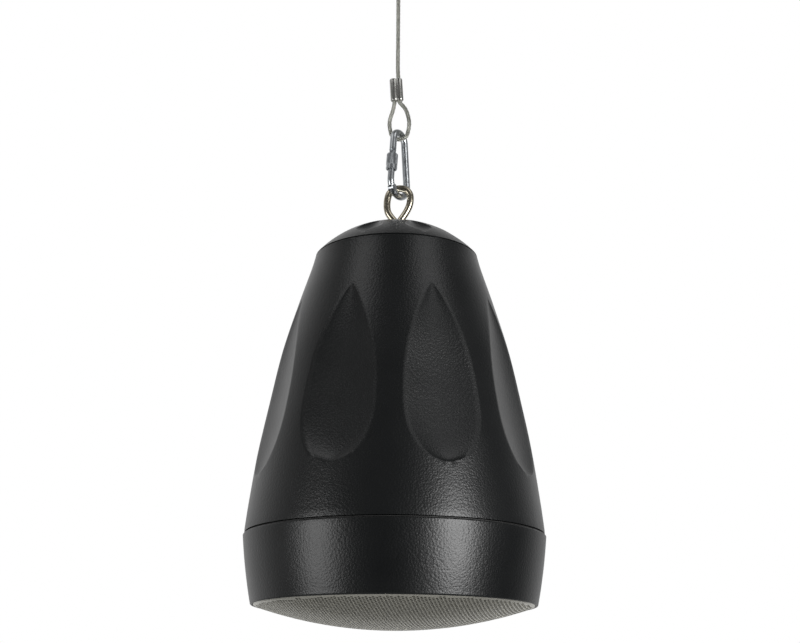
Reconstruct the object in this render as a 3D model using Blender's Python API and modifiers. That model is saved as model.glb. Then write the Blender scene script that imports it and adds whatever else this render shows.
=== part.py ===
"""Hanging PA projector speaker on a wire rope, with its carabiner, eye bolt and 6.5 inch driver.

Units are metres, +Z up, the front is -Y. The origin is where the upper rope loop bears on its hook.
Heights written as h(...) are millimetres above the rim of the front ring.
"""

import math

import bmesh
import bpy
from mathutils import Matrix, Vector

MM = 0.001
COLLECTION = "projector_speaker"
CUTTERS = "projector_speaker_cutters"
MERGE = 0.00001

# Clearances, and how far a shell is made too long before its end is cut flat, in millimetres
FIT = 0.3
SLIDE_FIT = 0.35
TRIM = 1.5

# Facets round a turned piece
BODY_SIDES = 48
GRILLE_SIDES = 40
DRIVER_SIDES = 20
SMALL_SIDES = 12
SCREW_SIDES = 8

# Front ring, moulded in one with the baffle
RING_TOP_R = 100.3
RING_TAPER = 6.3
RING_RIM_R = RING_TOP_R - RING_TAPER
RING_HEIGHT = 45.2
RING_BULGE = 0.45
RING_EDGE = 1.0
RING_WALL = 3.2
MOUTH_WALL = 1.3
MOUTH_R = RING_RIM_R - MOUTH_WALL
SHOULDER = 8.0
SHOULDER_WALL = 2.5
SPIGOT_HEIGHT = 5.8
SPIGOT_WALL = 1.8
SPIGOT_PLAY = 1.1
BAFFLE_BOTTOM = 20.0
BAFFLE_THICK = 4.0

# Seam between the ring and the housing
GASKET_THICK = 0.6
GASKET_RECESS = 0.8

# Housing: shares of its height from the bottom, and of the way from the bottom radius to the top one
HOUSING_HEIGHT = 192.4
SEAM_STEP = 0.7
HOUSING_BOTTOM_R = RING_TOP_R - SEAM_STEP
HOUSING_TOP_R = 56.6
HOUSING_WALL = 3.0
HOUSING_EDGE = 0.8
HOUSING_OUTLINE = (
    (0.0, 0.0),
    (0.107, 0.06),
    (0.297, 0.188),
    (0.465, 0.337),
    (0.642, 0.512),
    (0.819, 0.747),
    (0.954, 0.944),
    (1.0, 1.0),
)
HOUSING_ROWS = (0.0, 0.09, 0.178, 0.21, 0.28, 0.38, 0.5, 0.62, 0.74, 0.82, 0.91, 1.0)

# Teardrop dimples, eight round the housing
DIMPLES = 8
DIMPLE_BOTTOM = 80.5
DIMPLE_TIP = 203.0
DIMPLE_WIDEST = 0.33
DIMPLE_TAPER = 1.3
DIMPLE_TIP_ROUND = 0.85
DIMPLE_HALF_ANGLE = 16.8
DIMPLE_DEPTH = 6.0
LEAST_HALF_ANGLE = 6.0
CRISP = 16

# Screw bosses inside the housing
BOSSES = 4
BOSS_INSET = 6.0
BOSS_CIRCLE_R = RING_RIM_R - BOSS_INSET
BOSS_R = 5.0
BOSS_HOLE_R = 1.9
BOSS_TOP = 92.0
BOSS_WEB_THICK = 2.5
BOSS_WEB_TOP = 78.0
BAFFLE_SCREW_LENGTH = 42.0

# Domed cap
CAP_GAP = 0.6
CAP_HEIGHT = 25.2
CAP_WALL = 2.5
CAP_ROWS = (1.0, 0.9, 0.76, 0.58, 0.37, 0.12)
SCOOP_INSET = 5.8
SCOOP_OUTER_R = HOUSING_TOP_R - SCOOP_INSET
SCOOP_INNER_R = 21.0
SCOOP_HALF_ANGLE = 12.5
SCOOP_DEPTH = 3.2
CAP_BOSS_INSET = 16.6
CAP_BOSS_CIRCLE_R = HOUSING_TOP_R - CAP_BOSS_INSET
CAP_BOSS_R = 4.2
CAP_HOLE_R = 5.2

# Grille
GRILLE_BULGE = 15.0
GRILLE_SHEET = 0.8
GRILLE_R = MOUTH_R - FIT
GRILLE_HOLE_R = 3.6
GRILLE_PITCH = 19.0
GRILLE_BORDER = 12.0
GRILLE_PATTERN_R = GRILLE_R - GRILLE_BORDER

# Bent wire eye bolt
EYE_WIRE_R = 2.5
EYE_RISE = 27.3
EYE_SHANK_BELOW_DECK = 16.5
EYE_BEND = (
    (-1.7, -24.1),
    (-4.2, -21.0),
    (-6.2, -17.6),
    (-7.0, -13.4),
    (-6.8, -8.4),
    (-5.6, -3.8),
    (-2.6, -0.6),
    (1.35, 0.4),
    (4.8, 0.1),
    (7.4, -1.4),
    (9.2, -4.4),
    (9.5, -8.6),
    (8.6, -13.1),
    (6.5, -17.6),
    (4.0, -21.6),
    (1.7, -25.0),
    (0.4, -28.2),
    (0.0, -31.5),
)
WASHER_R = 5.0
WASHER_THICK = 1.0
NUT_FLATS = 8.0
NUT_THICK = 4.0
PLATE_WIDTH = 26.0
PLATE_MARGIN = 5.0
PLATE_THICK = 3.0

# Carabiner
HOOK_WIRE_R = 2.5
HOOK_LENGTH = 53.5
HOOK_LOW_R = 10.0
HOOK_HIGH_R = 6.9
HOOK_TURN = 58.0
HOOK_SHIFT = 1.2
LINK_GAP = 0.5
ROPE_GAP = 0.8
HINGE_ANGLE = 36.0
NOSE_STEP = 8.8
GATE_GAP = 0.7
TONGUE_THICK = 1.2
TONGUE_LENGTH = 1.4
TONGUE_WIDTH = 3.4
PIN_R = 0.9
FORK_THICK = 1.6
SLEEVE_R = 4.0
SLEEVE_LENGTH = 12.6
SLEEVE_TOP_BELOW_NOSE = 3.0
SLEEVE_FLUTES = 16

# Wire rope and its ferrules
ROPE_R = 1.5
LOOP_HALF_WIDTH = 7.0
LOOP_HEIGHT = 29.8
LOOP_SHIFT = 1.35
FERRULE_LENGTH = 17.5
FERRULE_LOBE_R = 2.75
FERRULE_SPACING = 3.8
FERRULE_TILT = 3.5
FERRULE_SHIFT = -0.9
ROPE_BETWEEN_FERRULES = 69.7

# Driver, 6.5 inch
FLANGE_INSET = 5.0
FLANGE_R = BOSS_CIRCLE_R - FLANGE_INSET
FLANGE_WIDTH = 10.4
FLANGE_HOLE_R = FLANGE_R - FLANGE_WIDTH
SEAT_WIDTH = 8.0
CUTOUT_R = FLANGE_R - SEAT_WIDTH
DRIVER_GASKET_THICK = 0.8
BASKET_SHEET = 1.2
BASKET_DEPTH = 40.0
LANDING_DEPTH = 28.0
LANDING_R = 46.0
LANDING_HOLE_R = 40.5
REAR_R = 38.5
REAR_HOLE_R = 19.0
WINDOW_ANGLE = 50.0
SURROUND_WIDTH = 11.6
CONE_R = FLANGE_HOLE_R - SURROUND_WIDTH
CONE_SETBACK = 3.0
CONE_DEPTH = 25.0
CONE_SHEET = 0.7
NECK_R = 16.4
SURROUND_SHEET = 0.8
SURROUND_DROP = 4.6
SURROUND_LIP = 3.2
SPIDER_SHEET = 0.6
SPIDER_SEAT = 4.3
SPIDER_WAVE = 1.6
SPIDER_RISE = 5.0
SPIDER_COLLAR = 3.0
WHIZZER_R = 30.0
WHIZZER_DEPTH = 15.0
POLE_R = 15.1
FORMER_R = 15.45
FORMER_WALL = 0.3
COIL_R = 16.45
COIL_HEIGHT = 8.0
TOP_PLATE_HOLE_R = 16.8
TOP_PLATE_R = 38.0
TOP_PLATE_THICK = 5.0
MAGNET_R = 42.0
MAGNET_HOLE_R = 20.0
MAGNET_THICK = 14.0
YOKE_R = 39.0
YOKE_THICK = 5.0
CONE_TRAVEL = 3.0
DRIVER_SCREW_INSET = 3.6
DRIVER_SCREW_CIRCLE_R = FLANGE_R - DRIVER_SCREW_INSET

# Screws and small parts
SCREW_HEAD_R = 3.2
SCREW_HEAD_THICK = 2.0
SCREW_SHANK_R = 1.6
GLAND_INSET = 18.1
GLAND_CIRCLE_R = HOUSING_TOP_R - GLAND_INSET
GLAND_THREAD_R = 5.0
GLAND_HEAD_R = 7.0
GLAND_BORE_R = 3.2
GLAND_DOME = 5.6
GROMMET_INSET = 20.6
GROMMET_CIRCLE_R = HOUSING_TOP_R - GROMMET_INSET
GROMMET_R = 8.0
GROMMET_NECK_R = 6.2
GROMMET_BORE_R = 3.5
GROMMET_LIP = 1.4
GROMMET_SKIN = 1.2
GROMMET_PLAY = 1.0
BLOCK_SIZE = (24.0, 10.0, 9.0)
BLOCK_INSET = 18.1
BLOCK_CIRCLE_R = HOUSING_TOP_R - BLOCK_INSET
TERMINAL_SCREW_R = 1.5
TERMINAL_SCREW_HEAD = 0.9
LEAD_R = 0.9
LEAD_SPACING = 9.0
LEAD_PLAY = 2.5

# Line transformer
CORE_WIDTH = 36.0
CORE_HEIGHT = 30.0
CORE_THICK = 18.0
FRAME_SHEET = 1.2
FRAME_FOOT = 11.0
PILLAR_HEIGHT = 12.0
PILLAR_FLATS = 6.0
BOBBIN_WALL = 0.8

# Heights that follow from the sizes above, in millimetres above the rim
SPIGOT_TOP = RING_HEIGHT + SPIGOT_HEIGHT
HOUSING_BOTTOM = RING_HEIGHT + GASKET_THICK + 2 * FIT
HOUSING_TOP = HOUSING_BOTTOM + HOUSING_HEIGHT
DECK_UNDER = HOUSING_TOP - HOUSING_WALL
CAP_BOTTOM = HOUSING_TOP + CAP_GAP
CAP_TOP = CAP_BOTTOM + CAP_HEIGHT
CAP_SPHERE_R = (HOUSING_TOP_R**2 + CAP_HEIGHT**2) / (2 * CAP_HEIGHT)
EYE_TOP = CAP_TOP + EYE_RISE
HOOK_LOW = EYE_TOP - EYE_WIRE_R - LINK_GAP - HOOK_WIRE_R
HOOK_HIGH = HOOK_LOW + HOOK_LENGTH - 2 * HOOK_WIRE_R
LOOP_LOW = HOOK_HIGH - HOOK_WIRE_R - ROPE_GAP - ROPE_R
HOOK_LOW_CENTRE = HOOK_LOW + HOOK_LOW_R
HOOK_HIGH_CENTRE = HOOK_HIGH - HOOK_HIGH_R
HOOK_TAPER = math.degrees(math.asin((HOOK_LOW_R - HOOK_HIGH_R) / (HOOK_HIGH_CENTRE - HOOK_LOW_CENTRE)))
NOSE = HOOK_HIGH_CENTRE - NOSE_STEP
LOWER_FERRULE = LOOP_LOW + LOOP_HEIGHT
UPPER_FERRULE = LOWER_FERRULE + FERRULE_LENGTH + ROPE_BETWEEN_FERRULES
LOOP_HIGH = UPPER_FERRULE + FERRULE_LENGTH + LOOP_HEIGHT
BEARING = LOOP_HIGH - ROPE_R
BAFFLE_TOP = BAFFLE_BOTTOM + BAFFLE_THICK
FLANGE_TOP = BAFFLE_BOTTOM - 2 * FIT - DRIVER_GASKET_THICK
FLANGE_BOTTOM = FLANGE_TOP - BASKET_SHEET
LANDING = FLANGE_TOP + LANDING_DEPTH
REAR = FLANGE_TOP + BASKET_DEPTH
TOP_PLATE_BOTTOM = REAR + FIT
MAGNET_BOTTOM = TOP_PLATE_BOTTOM + TOP_PLATE_THICK + FIT
YOKE_BOTTOM = MAGNET_BOTTOM + MAGNET_THICK + FIT
CONE_EDGE = FLANGE_BOTTOM + CONE_SETBACK
NECK = CONE_EDGE + CONE_DEPTH
PLATE_BOTTOM = DECK_UNDER - FIT - PLATE_THICK
FRAME_TOP = PLATE_BOTTOM - 2 * FIT - PILLAR_HEIGHT
CORE_TOP = FRAME_TOP - FRAME_SHEET - 2 * FIT
CORE_BOTTOM = CORE_TOP - CORE_HEIGHT

# Paint, metal and plastic: colour, roughness, metallic
LOOKS = {
    "grained_black_plastic": ((0.035, 0.036, 0.037), 0.45, 0.0),
    "grille_steel": ((0.36, 0.35, 0.32), 0.4, 0.8),
    "zinc_plated_steel": ((0.72, 0.74, 0.75), 0.22, 1.0),
    "stainless_wire": ((0.62, 0.58, 0.5), 0.2, 1.0),
    "galvanised_rope": ((0.5, 0.5, 0.48), 0.45, 1.0),
    "ferrule_aluminium": ((0.75, 0.75, 0.74), 0.3, 1.0),
    "black_rubber": ((0.02, 0.02, 0.02), 0.8, 0.0),
    "black_plastic": ((0.03, 0.03, 0.03), 0.5, 0.0),
    "pulp_cone": ((0.05, 0.05, 0.055), 0.9, 0.0),
    "ferrite": ((0.06, 0.06, 0.065), 0.6, 0.2),
    "blued_steel": ((0.12, 0.12, 0.13), 0.4, 0.9),
    "spider_cloth": ((0.5, 0.33, 0.12), 0.9, 0.0),
    "copper_winding": ((0.6, 0.3, 0.12), 0.35, 0.9),
    "core_lamination": ((0.3, 0.3, 0.31), 0.5, 0.8),
    "bobbin_nylon": ((0.75, 0.73, 0.65), 0.6, 0.0),
    "winding_tape": ((0.75, 0.6, 0.12), 0.5, 0.0),
    "phenolic_strip": ((0.28, 0.16, 0.07), 0.7, 0.0),
    "red_insulation": ((0.5, 0.03, 0.02), 0.5, 0.0),
    "black_insulation": ((0.02, 0.02, 0.02), 0.5, 0.0),
}


def h(height):
    """A height above the rim in millimetres, as a world Z in metres."""
    return (height - BEARING) * MM


def clear_scene():
    for obj in list(bpy.data.objects):
        bpy.data.objects.remove(obj, do_unlink=True)


def collection(name):
    found = bpy.data.collections.get(name)
    if found is None:
        found = bpy.data.collections.new(name)
        bpy.context.scene.collection.children.link(found)
    return found


def material(look):
    found = bpy.data.materials.get(look)
    if found:
        return found
    colour, roughness, metallic = LOOKS[look]
    made = bpy.data.materials.new(look)
    made.use_nodes = True
    shader = made.node_tree.nodes["Principled BSDF"]
    shader.inputs["Base Color"].default_value = (*colour, 1.0)
    shader.inputs["Roughness"].default_value = roughness
    shader.inputs["Metallic"].default_value = metallic
    return made


def add_object(name, mesh, look):
    """A piece of the speaker with its own material."""
    obj = bpy.data.objects.new(name, mesh)
    collection(COLLECTION).objects.link(obj)
    obj.data.materials.clear()
    obj.data.materials.append(material(look))
    return obj


def as_cutter(obj):
    """Moves an object to the cutters, where it isn't part of the speaker."""
    for owner in list(obj.users_collection):
        owner.objects.unlink(obj)
    collection(CUTTERS).objects.link(obj)
    obj.hide_render = True
    obj.display_type = "WIRE"
    return obj


def mesh_from(name, build):
    """A mesh that the function build fills with bmesh operators."""
    mesh = bpy.data.meshes.new(name)
    form = bmesh.new()
    build(form)
    form.to_mesh(mesh)
    form.free()
    return mesh


def evaluated_mesh(obj):
    graph = bpy.context.evaluated_depsgraph_get()
    return bpy.data.meshes.new_from_object(obj.evaluated_get(graph))


def smooth(obj, degrees=35):
    obj.data.shade_smooth()
    obj.data.set_sharp_from_angle(angle=math.radians(degrees))
    return obj


def boolean(obj, other, operation="DIFFERENCE"):
    tool = obj.modifiers.new(other.name, "BOOLEAN")
    tool.solver = "EXACT"
    tool.operation = operation
    tool.object = as_cutter(other)
    return obj


def turn(obj, sides):
    """Screw modifier that turns an outline in the XZ plane about Z."""
    screw = obj.modifiers.new("Turn", "SCREW")
    screw.steps = sides
    screw.render_steps = sides
    screw.use_merge_vertices = True
    screw.merge_threshold = MERGE
    return obj


def outline_mesh(name, points, closed):
    """Edges through (radius, height) points in millimetres above the rim."""
    mesh = bpy.data.meshes.new(name)
    count = len(points)
    edges = [(i, i + 1) for i in range(count - 1)]
    if closed:
        edges.append((count - 1, 0))
    mesh.from_pydata([(r * MM, 0.0, h(z)) for r, z in points], edges, [])
    return mesh


def turned(name, points, look, sides=SMALL_SIDES, closed=True):
    """A turned solid. A closed outline goes clockwise; an open one runs from the axis to the axis."""
    obj = add_object(name, outline_mesh(name, points, closed), look)
    turn(obj, sides)
    return smooth(obj)


def ring(name, inner, outer, bottom, top, look, sides=SMALL_SIDES):
    """A flat ring of rectangular section."""
    return turned(name, [(outer, top), (outer, bottom), (inner, bottom), (inner, top)], look, sides)


def cylinder(name, radius, bottom, top, look, centre=(0.0, 0.0), sides=SMALL_SIDES):
    def build(form):
        place = Matrix.Translation((centre[0] * MM, centre[1] * MM, h((bottom + top) / 2)))
        bmesh.ops.create_cone(
            form,
            cap_ends=True,
            segments=sides,
            radius1=radius * MM,
            radius2=radius * MM,
            depth=(top - bottom) * MM,
            matrix=place,
        )

    return smooth(add_object(name, mesh_from(name, build), look))


def box(name, low, high, look):
    """A box between two corners, with heights above the rim, in millimetres."""
    size = [b - a for a, b in zip(low, high)]
    middle = [(a + b) / 2 for a, b in zip(low, high)]

    def build(form):
        place = Matrix.Translation((middle[0] * MM, middle[1] * MM, h(middle[2])))
        scale = Matrix.Diagonal((size[0] * MM, size[1] * MM, size[2] * MM, 1.0))
        bmesh.ops.create_cube(form, size=1.0, matrix=place @ scale)

    return add_object(name, mesh_from(name, build), look)


def polar(radius, azimuth):
    """X and Y in millimetres at an azimuth in degrees from the front."""
    angle = math.radians(azimuth)
    return radius * math.sin(angle), -radius * math.cos(angle)


def catmull_rom(points, steps):
    """A smooth curve through points, with steps points from each to the next."""
    padded = [2 * points[0] - points[1], *points, 2 * points[-1] - points[-2]]
    curve = []
    for i in range(1, len(padded) - 2):
        a, b, c, d = padded[i - 1 : i + 3]
        for k in range(steps):
            t = k / steps
            curve.append(
                0.5
                * (2 * b + (c - a) * t + (2 * a - 5 * b + 4 * c - d) * t**2 + (3 * b - a - 3 * c + d) * t**3)
            )
    return [*curve, points[-1]]


def wire(name, points, radius, look, resolution=2):
    """A round wire along points in metres, made a mesh with its end caps welded on."""
    curve = bpy.data.curves.new(name, "CURVE")
    curve.dimensions = "3D"
    curve.bevel_depth = radius * MM
    curve.bevel_resolution = resolution
    curve.use_fill_caps = True
    spline = curve.splines.new("POLY")
    spline.points.add(len(points) - 1)
    for target, point in zip(spline.points, points):
        target.co = (*point, 1.0)
    guide = bpy.data.objects.new(name + "_guide", curve)
    collection(CUTTERS).objects.link(guide)
    bpy.context.view_layer.update()
    mesh = evaluated_mesh(guide)
    bpy.data.objects.remove(guide)
    mesh.name = name
    form = bmesh.new()
    form.from_mesh(mesh)
    bmesh.ops.remove_doubles(form, verts=form.verts, dist=MERGE)
    bmesh.ops.recalc_face_normals(form, faces=form.faces)
    form.to_mesh(mesh)
    form.free()
    return smooth(add_object(name, mesh, look))


def joined(name, pieces):
    """Several separate solids as one object."""
    form = bmesh.new()
    for piece in pieces:
        mesh = evaluated_mesh(piece)
        mesh.transform(piece.matrix_world)
        form.from_mesh(mesh)
    look = pieces[0].data.materials[0].name
    for piece in pieces:
        bpy.data.objects.remove(piece)
    mesh = bpy.data.meshes.new(name)
    form.to_mesh(mesh)
    form.free()
    return smooth(add_object(name, mesh, look))


def interpolate(table, share):
    """The value of a smooth curve through (share, value) pairs."""
    shares = [row[0] for row in table]
    values = [row[1] for row in table]
    last = len(table) - 1
    i = max(k for k in range(last) if shares[k] <= share or k == 0)
    slopes = []
    for k in (i, i + 1):
        before, after = max(k - 1, 0), min(k + 1, last)
        slopes.append((values[after] - values[before]) / (shares[after] - shares[before]))
    span = shares[i + 1] - shares[i]
    t = (share - shares[i]) / span
    return (
        (2 * t**3 - 3 * t**2 + 1) * values[i]
        + (t**3 - 2 * t**2 + t) * span * slopes[0]
        + (3 * t**2 - 2 * t**3) * values[i + 1]
        + (t**3 - t**2) * span * slopes[1]
    )


def housing_radius(height):
    """Outer radius of the undimpled housing at a height above the rim."""
    share = (height - HOUSING_BOTTOM) / HOUSING_HEIGHT
    return HOUSING_BOTTOM_R + (HOUSING_TOP_R - HOUSING_BOTTOM_R) * interpolate(HOUSING_OUTLINE, share)


def ring_radius(height):
    """Outer radius of the front ring at a height above the rim."""
    share = height / RING_HEIGHT
    swell = (1 + RING_BULGE) * share - RING_BULGE * share**2
    return RING_RIM_R + (RING_TOP_R - RING_RIM_R) * swell


def dimple_width(height):
    """Half width of a teardrop dimple, as a share of its widest, at a height above the rim."""
    share = (height - DIMPLE_BOTTOM) / (DIMPLE_TIP - DIMPLE_BOTTOM)
    if share <= 0.0 or share >= 1.0:
        return 0.0
    if share < DIMPLE_WIDEST:
        return math.sqrt(1 - ((DIMPLE_WIDEST - share) / DIMPLE_WIDEST) ** 2)
    rise = (share - DIMPLE_WIDEST) / (1 - DIMPLE_WIDEST)
    return math.cos(math.pi / 2 * rise**DIMPLE_TAPER) ** DIMPLE_TIP_ROUND


def scoop_width(radius):
    """Half width of a cap scoop, as a share of its widest, at a radius from the axis."""
    share = (radius - SCOOP_INNER_R) / (SCOOP_OUTER_R - SCOOP_INNER_R)
    if share <= 0.0 or share >= 1.0:
        return 0.0
    return math.sin(math.pi * share**1.6)


def warp(point, half_angle, width_at, depth, inward):
    """Moves a point of a turned surface so that its facets follow one of the eight hollows."""
    pitch = 2 * math.pi / DIMPLES
    azimuth = math.atan2(point.x, -point.y)
    centre = (math.floor(azimuth / pitch) + 0.5) * pitch
    offset = azimuth - centre
    width = width_at * half_angle
    border = max(width, LEAST_HALF_ANGLE) * math.pi / 180
    grid_border = pitch / 3
    if abs(offset) <= grid_border + 1e-6:
        moved = offset * border / grid_border
    else:
        beyond = (abs(offset) - grid_border) / (pitch / 2 - grid_border)
        moved = math.copysign(border + beyond * (pitch / 2 - border), offset)
    radius = math.hypot(point.x, point.y)
    share = abs(math.degrees(moved)) / width if width > 0 else 1.0
    hollow = depth * MM * width_at * max(0.0, 1 - share**2)
    place = Vector((radius * math.sin(centre + moved), -radius * math.cos(centre + moved), point.z))
    return place + hollow * inward(place)


def towards_axis(place):
    return Vector((-place.x, -place.y, 0.0)).normalized()


def screw_fastener(name, centre, head_bottom, length):
    """A pan head screw with its head below its shank."""
    head_top = head_bottom + SCREW_HEAD_THICK
    points = [
        (0.0, head_top + length),
        (SCREW_SHANK_R, head_top + length),
        (SCREW_SHANK_R, head_top),
        (SCREW_HEAD_R, head_top),
        (SCREW_HEAD_R * 0.8, head_bottom),
        (0.0, head_bottom),
    ]
    obj = turned(name, points, "zinc_plated_steel", SCREW_SIDES, closed=False)
    obj.location = (centre[0] * MM, centre[1] * MM, 0.0)
    bpy.context.view_layer.update()
    return obj


def hex_prism(name, flats, bottom, top, look, centre=(0.0, 0.0)):
    return cylinder(name, flats / math.sqrt(3), bottom, top, look, centre, sides=6)


def make_front_ring():
    wall_top = ring_radius(RING_HEIGHT) - RING_EDGE
    inner = RING_RIM_R - SHOULDER_WALL
    spigot_r = housing_radius(SPIGOT_TOP) - HOUSING_WALL - SPIGOT_PLAY
    outer = [(ring_radius(z), z) for z in (RING_HEIGHT / 2, RING_EDGE)]
    points = [
        (spigot_r, SPIGOT_TOP),
        (spigot_r, RING_HEIGHT),
        (wall_top, RING_HEIGHT),
        (ring_radius(RING_HEIGHT - RING_EDGE), RING_HEIGHT - RING_EDGE),
        *outer,
        (RING_RIM_R - RING_EDGE, 0.0),
        (MOUTH_R, 0.0),
        (MOUTH_R, SHOULDER),
        (inner, SHOULDER),
        (inner, BAFFLE_BOTTOM),
        (CUTOUT_R, BAFFLE_BOTTOM),
        (CUTOUT_R, BAFFLE_TOP),
        (ring_radius(BAFFLE_TOP) - RING_WALL, BAFFLE_TOP),
        (spigot_r - SPIGOT_WALL, RING_HEIGHT - 4.0),
        (spigot_r - SPIGOT_WALL, SPIGOT_TOP),
    ]
    front = turned("front_ring", points, "grained_black_plastic", BODY_SIDES)
    holes = []
    through = (BAFFLE_BOTTOM - 1, BAFFLE_TOP + 1)
    for i in range(BOSSES):
        centre = polar(BOSS_CIRCLE_R, 45 + 360 / BOSSES * i)
        holes.append(cylinder("screw_hole", SCREW_SHANK_R + FIT, *through, "ferrite", centre, SCREW_SIDES))
    for i in range(4):
        centre = polar(DRIVER_SCREW_CIRCLE_R, 90 * i)
        holes.append(cylinder("pilot_hole", SCREW_SHANK_R + FIT, *through, "ferrite", centre, SCREW_SIDES))
    boolean(front, joined("baffle_holes", holes))


def make_ring_gasket():
    inner = housing_radius(HOUSING_BOTTOM) - HOUSING_WALL
    outer = housing_radius(HOUSING_BOTTOM) - GASKET_RECESS
    bottom = RING_HEIGHT + FIT
    ring("ring_gasket", inner, outer, bottom, bottom + GASKET_THICK, "black_rubber", BODY_SIDES)


def housing_bosses():
    """Screw bosses with a web to the wall, as cutters that are joined on."""
    for i in range(BOSSES):
        azimuth = 45 + 360 / BOSSES * i
        centre = polar(BOSS_CIRCLE_R, azimuth)
        low = BAFFLE_TOP + FIT
        yield cylinder("boss", BOSS_R, low, BOSS_TOP, "ferrite", centre, sides=12)
        reach = housing_radius(BOSS_WEB_TOP) - 1.0
        web = box(
            "boss_web",
            (-BOSS_WEB_THICK / 2, -reach, SPIGOT_TOP + 1.0),
            (BOSS_WEB_THICK / 2, -BOSS_CIRCLE_R, BOSS_WEB_TOP),
            "ferrite",
        )
        web.rotation_euler.z = math.radians(azimuth)
        yield web


def make_housing():
    rows = [HOUSING_BOTTOM + HOUSING_HEIGHT * share for share in reversed(HOUSING_ROWS[:-1])]
    points = [
        (EYE_WIRE_R + FIT, HOUSING_TOP),
        (HOUSING_TOP_R - HOUSING_EDGE, HOUSING_TOP),
        (housing_radius(HOUSING_TOP - HOUSING_EDGE), HOUSING_TOP - HOUSING_EDGE),
        *[(housing_radius(z), z) for z in rows],
    ]
    points[-1] = (housing_radius(HOUSING_BOTTOM - TRIM), HOUSING_BOTTOM - TRIM)
    guide = bpy.data.objects.new("housing_guide", outline_mesh("housing_guide", points, False))
    collection(CUTTERS).objects.link(guide)
    turn(guide, BODY_SIDES)
    bpy.context.view_layer.update()
    mesh = evaluated_mesh(guide)
    bpy.data.objects.remove(guide)
    for vertex in mesh.vertices:
        height = vertex.co.z / MM + BEARING
        if height < HOUSING_TOP - HOUSING_EDGE / 2:
            vertex.co = warp(vertex.co, DIMPLE_HALF_ANGLE, dimple_width(height), DIMPLE_DEPTH, towards_axis)
    shell = add_object("housing_shell", mesh, "grained_black_plastic")
    wall = shell.modifiers.new("Wall", "SOLIDIFY")
    wall.thickness = HOUSING_WALL * MM
    wall.offset = -1.0
    wall.use_even_offset = True
    foot = cylinder("housing_trim", HOUSING_BOTTOM_R + 5, HOUSING_BOTTOM - 3 * TRIM, HOUSING_BOTTOM, "ferrite")
    boolean(shell, foot)
    for part in housing_bosses():
        boolean(shell, part, "UNION")
    holes = [
        cylinder("boss_hole", BOSS_HOLE_R, BAFFLE_TOP - 2, BOSS_TOP - 2, "ferrite", polar(BOSS_CIRCLE_R, 45 + 90 * i), SCREW_SIDES)
        for i in range(BOSSES)
    ]
    low, high = DECK_UNDER - 2, HOUSING_TOP + 2
    for centre in cap_screw_places():
        holes.append(cylinder("cap_screw_hole", SCREW_SHANK_R + FIT, low, high, "ferrite", centre, SCREW_SIDES))
    holes.append(cylinder("gland_hole", GLAND_THREAD_R + FIT, low, high, "ferrite", polar(GLAND_CIRCLE_R, 180)))
    boolean(shell, joined("housing_holes", holes))
    smooth(shell, CRISP)


def cap_screw_places():
    return [polar(CAP_BOSS_CIRCLE_R, azimuth) for azimuth in (45, 225)]


def cap_height(radius):
    """Height of the cap's dome at a radius from the axis."""
    return CAP_TOP - CAP_SPHERE_R + math.sqrt(CAP_SPHERE_R**2 - radius**2)


def cap_inward(place):
    centre = Vector((0.0, 0.0, h(CAP_TOP - CAP_SPHERE_R)))
    return (centre - place).normalized()


def make_cap():
    points = [(HOUSING_TOP_R * share, cap_height(HOUSING_TOP_R * share)) for share in reversed(CAP_ROWS)]
    points[0] = (CAP_HOLE_R, cap_height(CAP_HOLE_R))
    points[-1] = (HOUSING_TOP_R + TRIM, cap_height(HOUSING_TOP_R + TRIM))
    guide = bpy.data.objects.new("cap_guide", outline_mesh("cap_guide", points, False))
    collection(CUTTERS).objects.link(guide)
    turn(guide, BODY_SIDES)
    bpy.context.view_layer.update()
    mesh = evaluated_mesh(guide)
    bpy.data.objects.remove(guide)
    for vertex in mesh.vertices:
        radius = math.hypot(vertex.co.x, vertex.co.y) / MM
        vertex.co = warp(vertex.co, SCOOP_HALF_ANGLE, scoop_width(radius), SCOOP_DEPTH, cap_inward)
    cap = add_object("top_cap", mesh, "grained_black_plastic")
    wall = cap.modifiers.new("Wall", "SOLIDIFY")
    wall.thickness = CAP_WALL * MM
    wall.offset = -1.0
    wall.use_even_offset = True
    boolean(cap, cylinder("cap_trim", HOUSING_TOP_R + 5, CAP_BOTTOM - 5 * TRIM, CAP_BOTTOM, "ferrite"))
    for centre in cap_screw_places():
        top = cap_height(CAP_BOSS_CIRCLE_R + CAP_BOSS_R) - 0.8
        boolean(cap, cylinder("cap_boss", CAP_BOSS_R, HOUSING_TOP + FIT, top, "ferrite", centre, 12), "UNION")
    holes = [
        cylinder("cap_boss_hole", BOSS_HOLE_R, HOUSING_TOP - 2, cap_height(CAP_BOSS_CIRCLE_R) - 3.5, "ferrite", centre, SCREW_SIDES)
        for centre in cap_screw_places()
    ]
    outlet = cylinder("outlet_hole", GROMMET_NECK_R + FIT, CAP_TOP - 12, CAP_TOP + 12, "ferrite")
    place_on_cap(outlet)
    holes.append(outlet)
    boolean(cap, joined("cap_holes", holes))
    smooth(cap, CRISP)


def place_on_cap(obj):
    """Moves a piece made about the cap's top to the cable outlet at the rear, square to the dome."""
    lean = math.asin(GROMMET_CIRCLE_R / CAP_SPHERE_R)
    centre = Matrix.Translation((0.0, 0.0, h(CAP_TOP - CAP_SPHERE_R)))
    obj.matrix_world = centre @ Matrix.Rotation(-lean, 4, "X") @ centre.inverted()
    bpy.context.view_layer.update()


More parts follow.
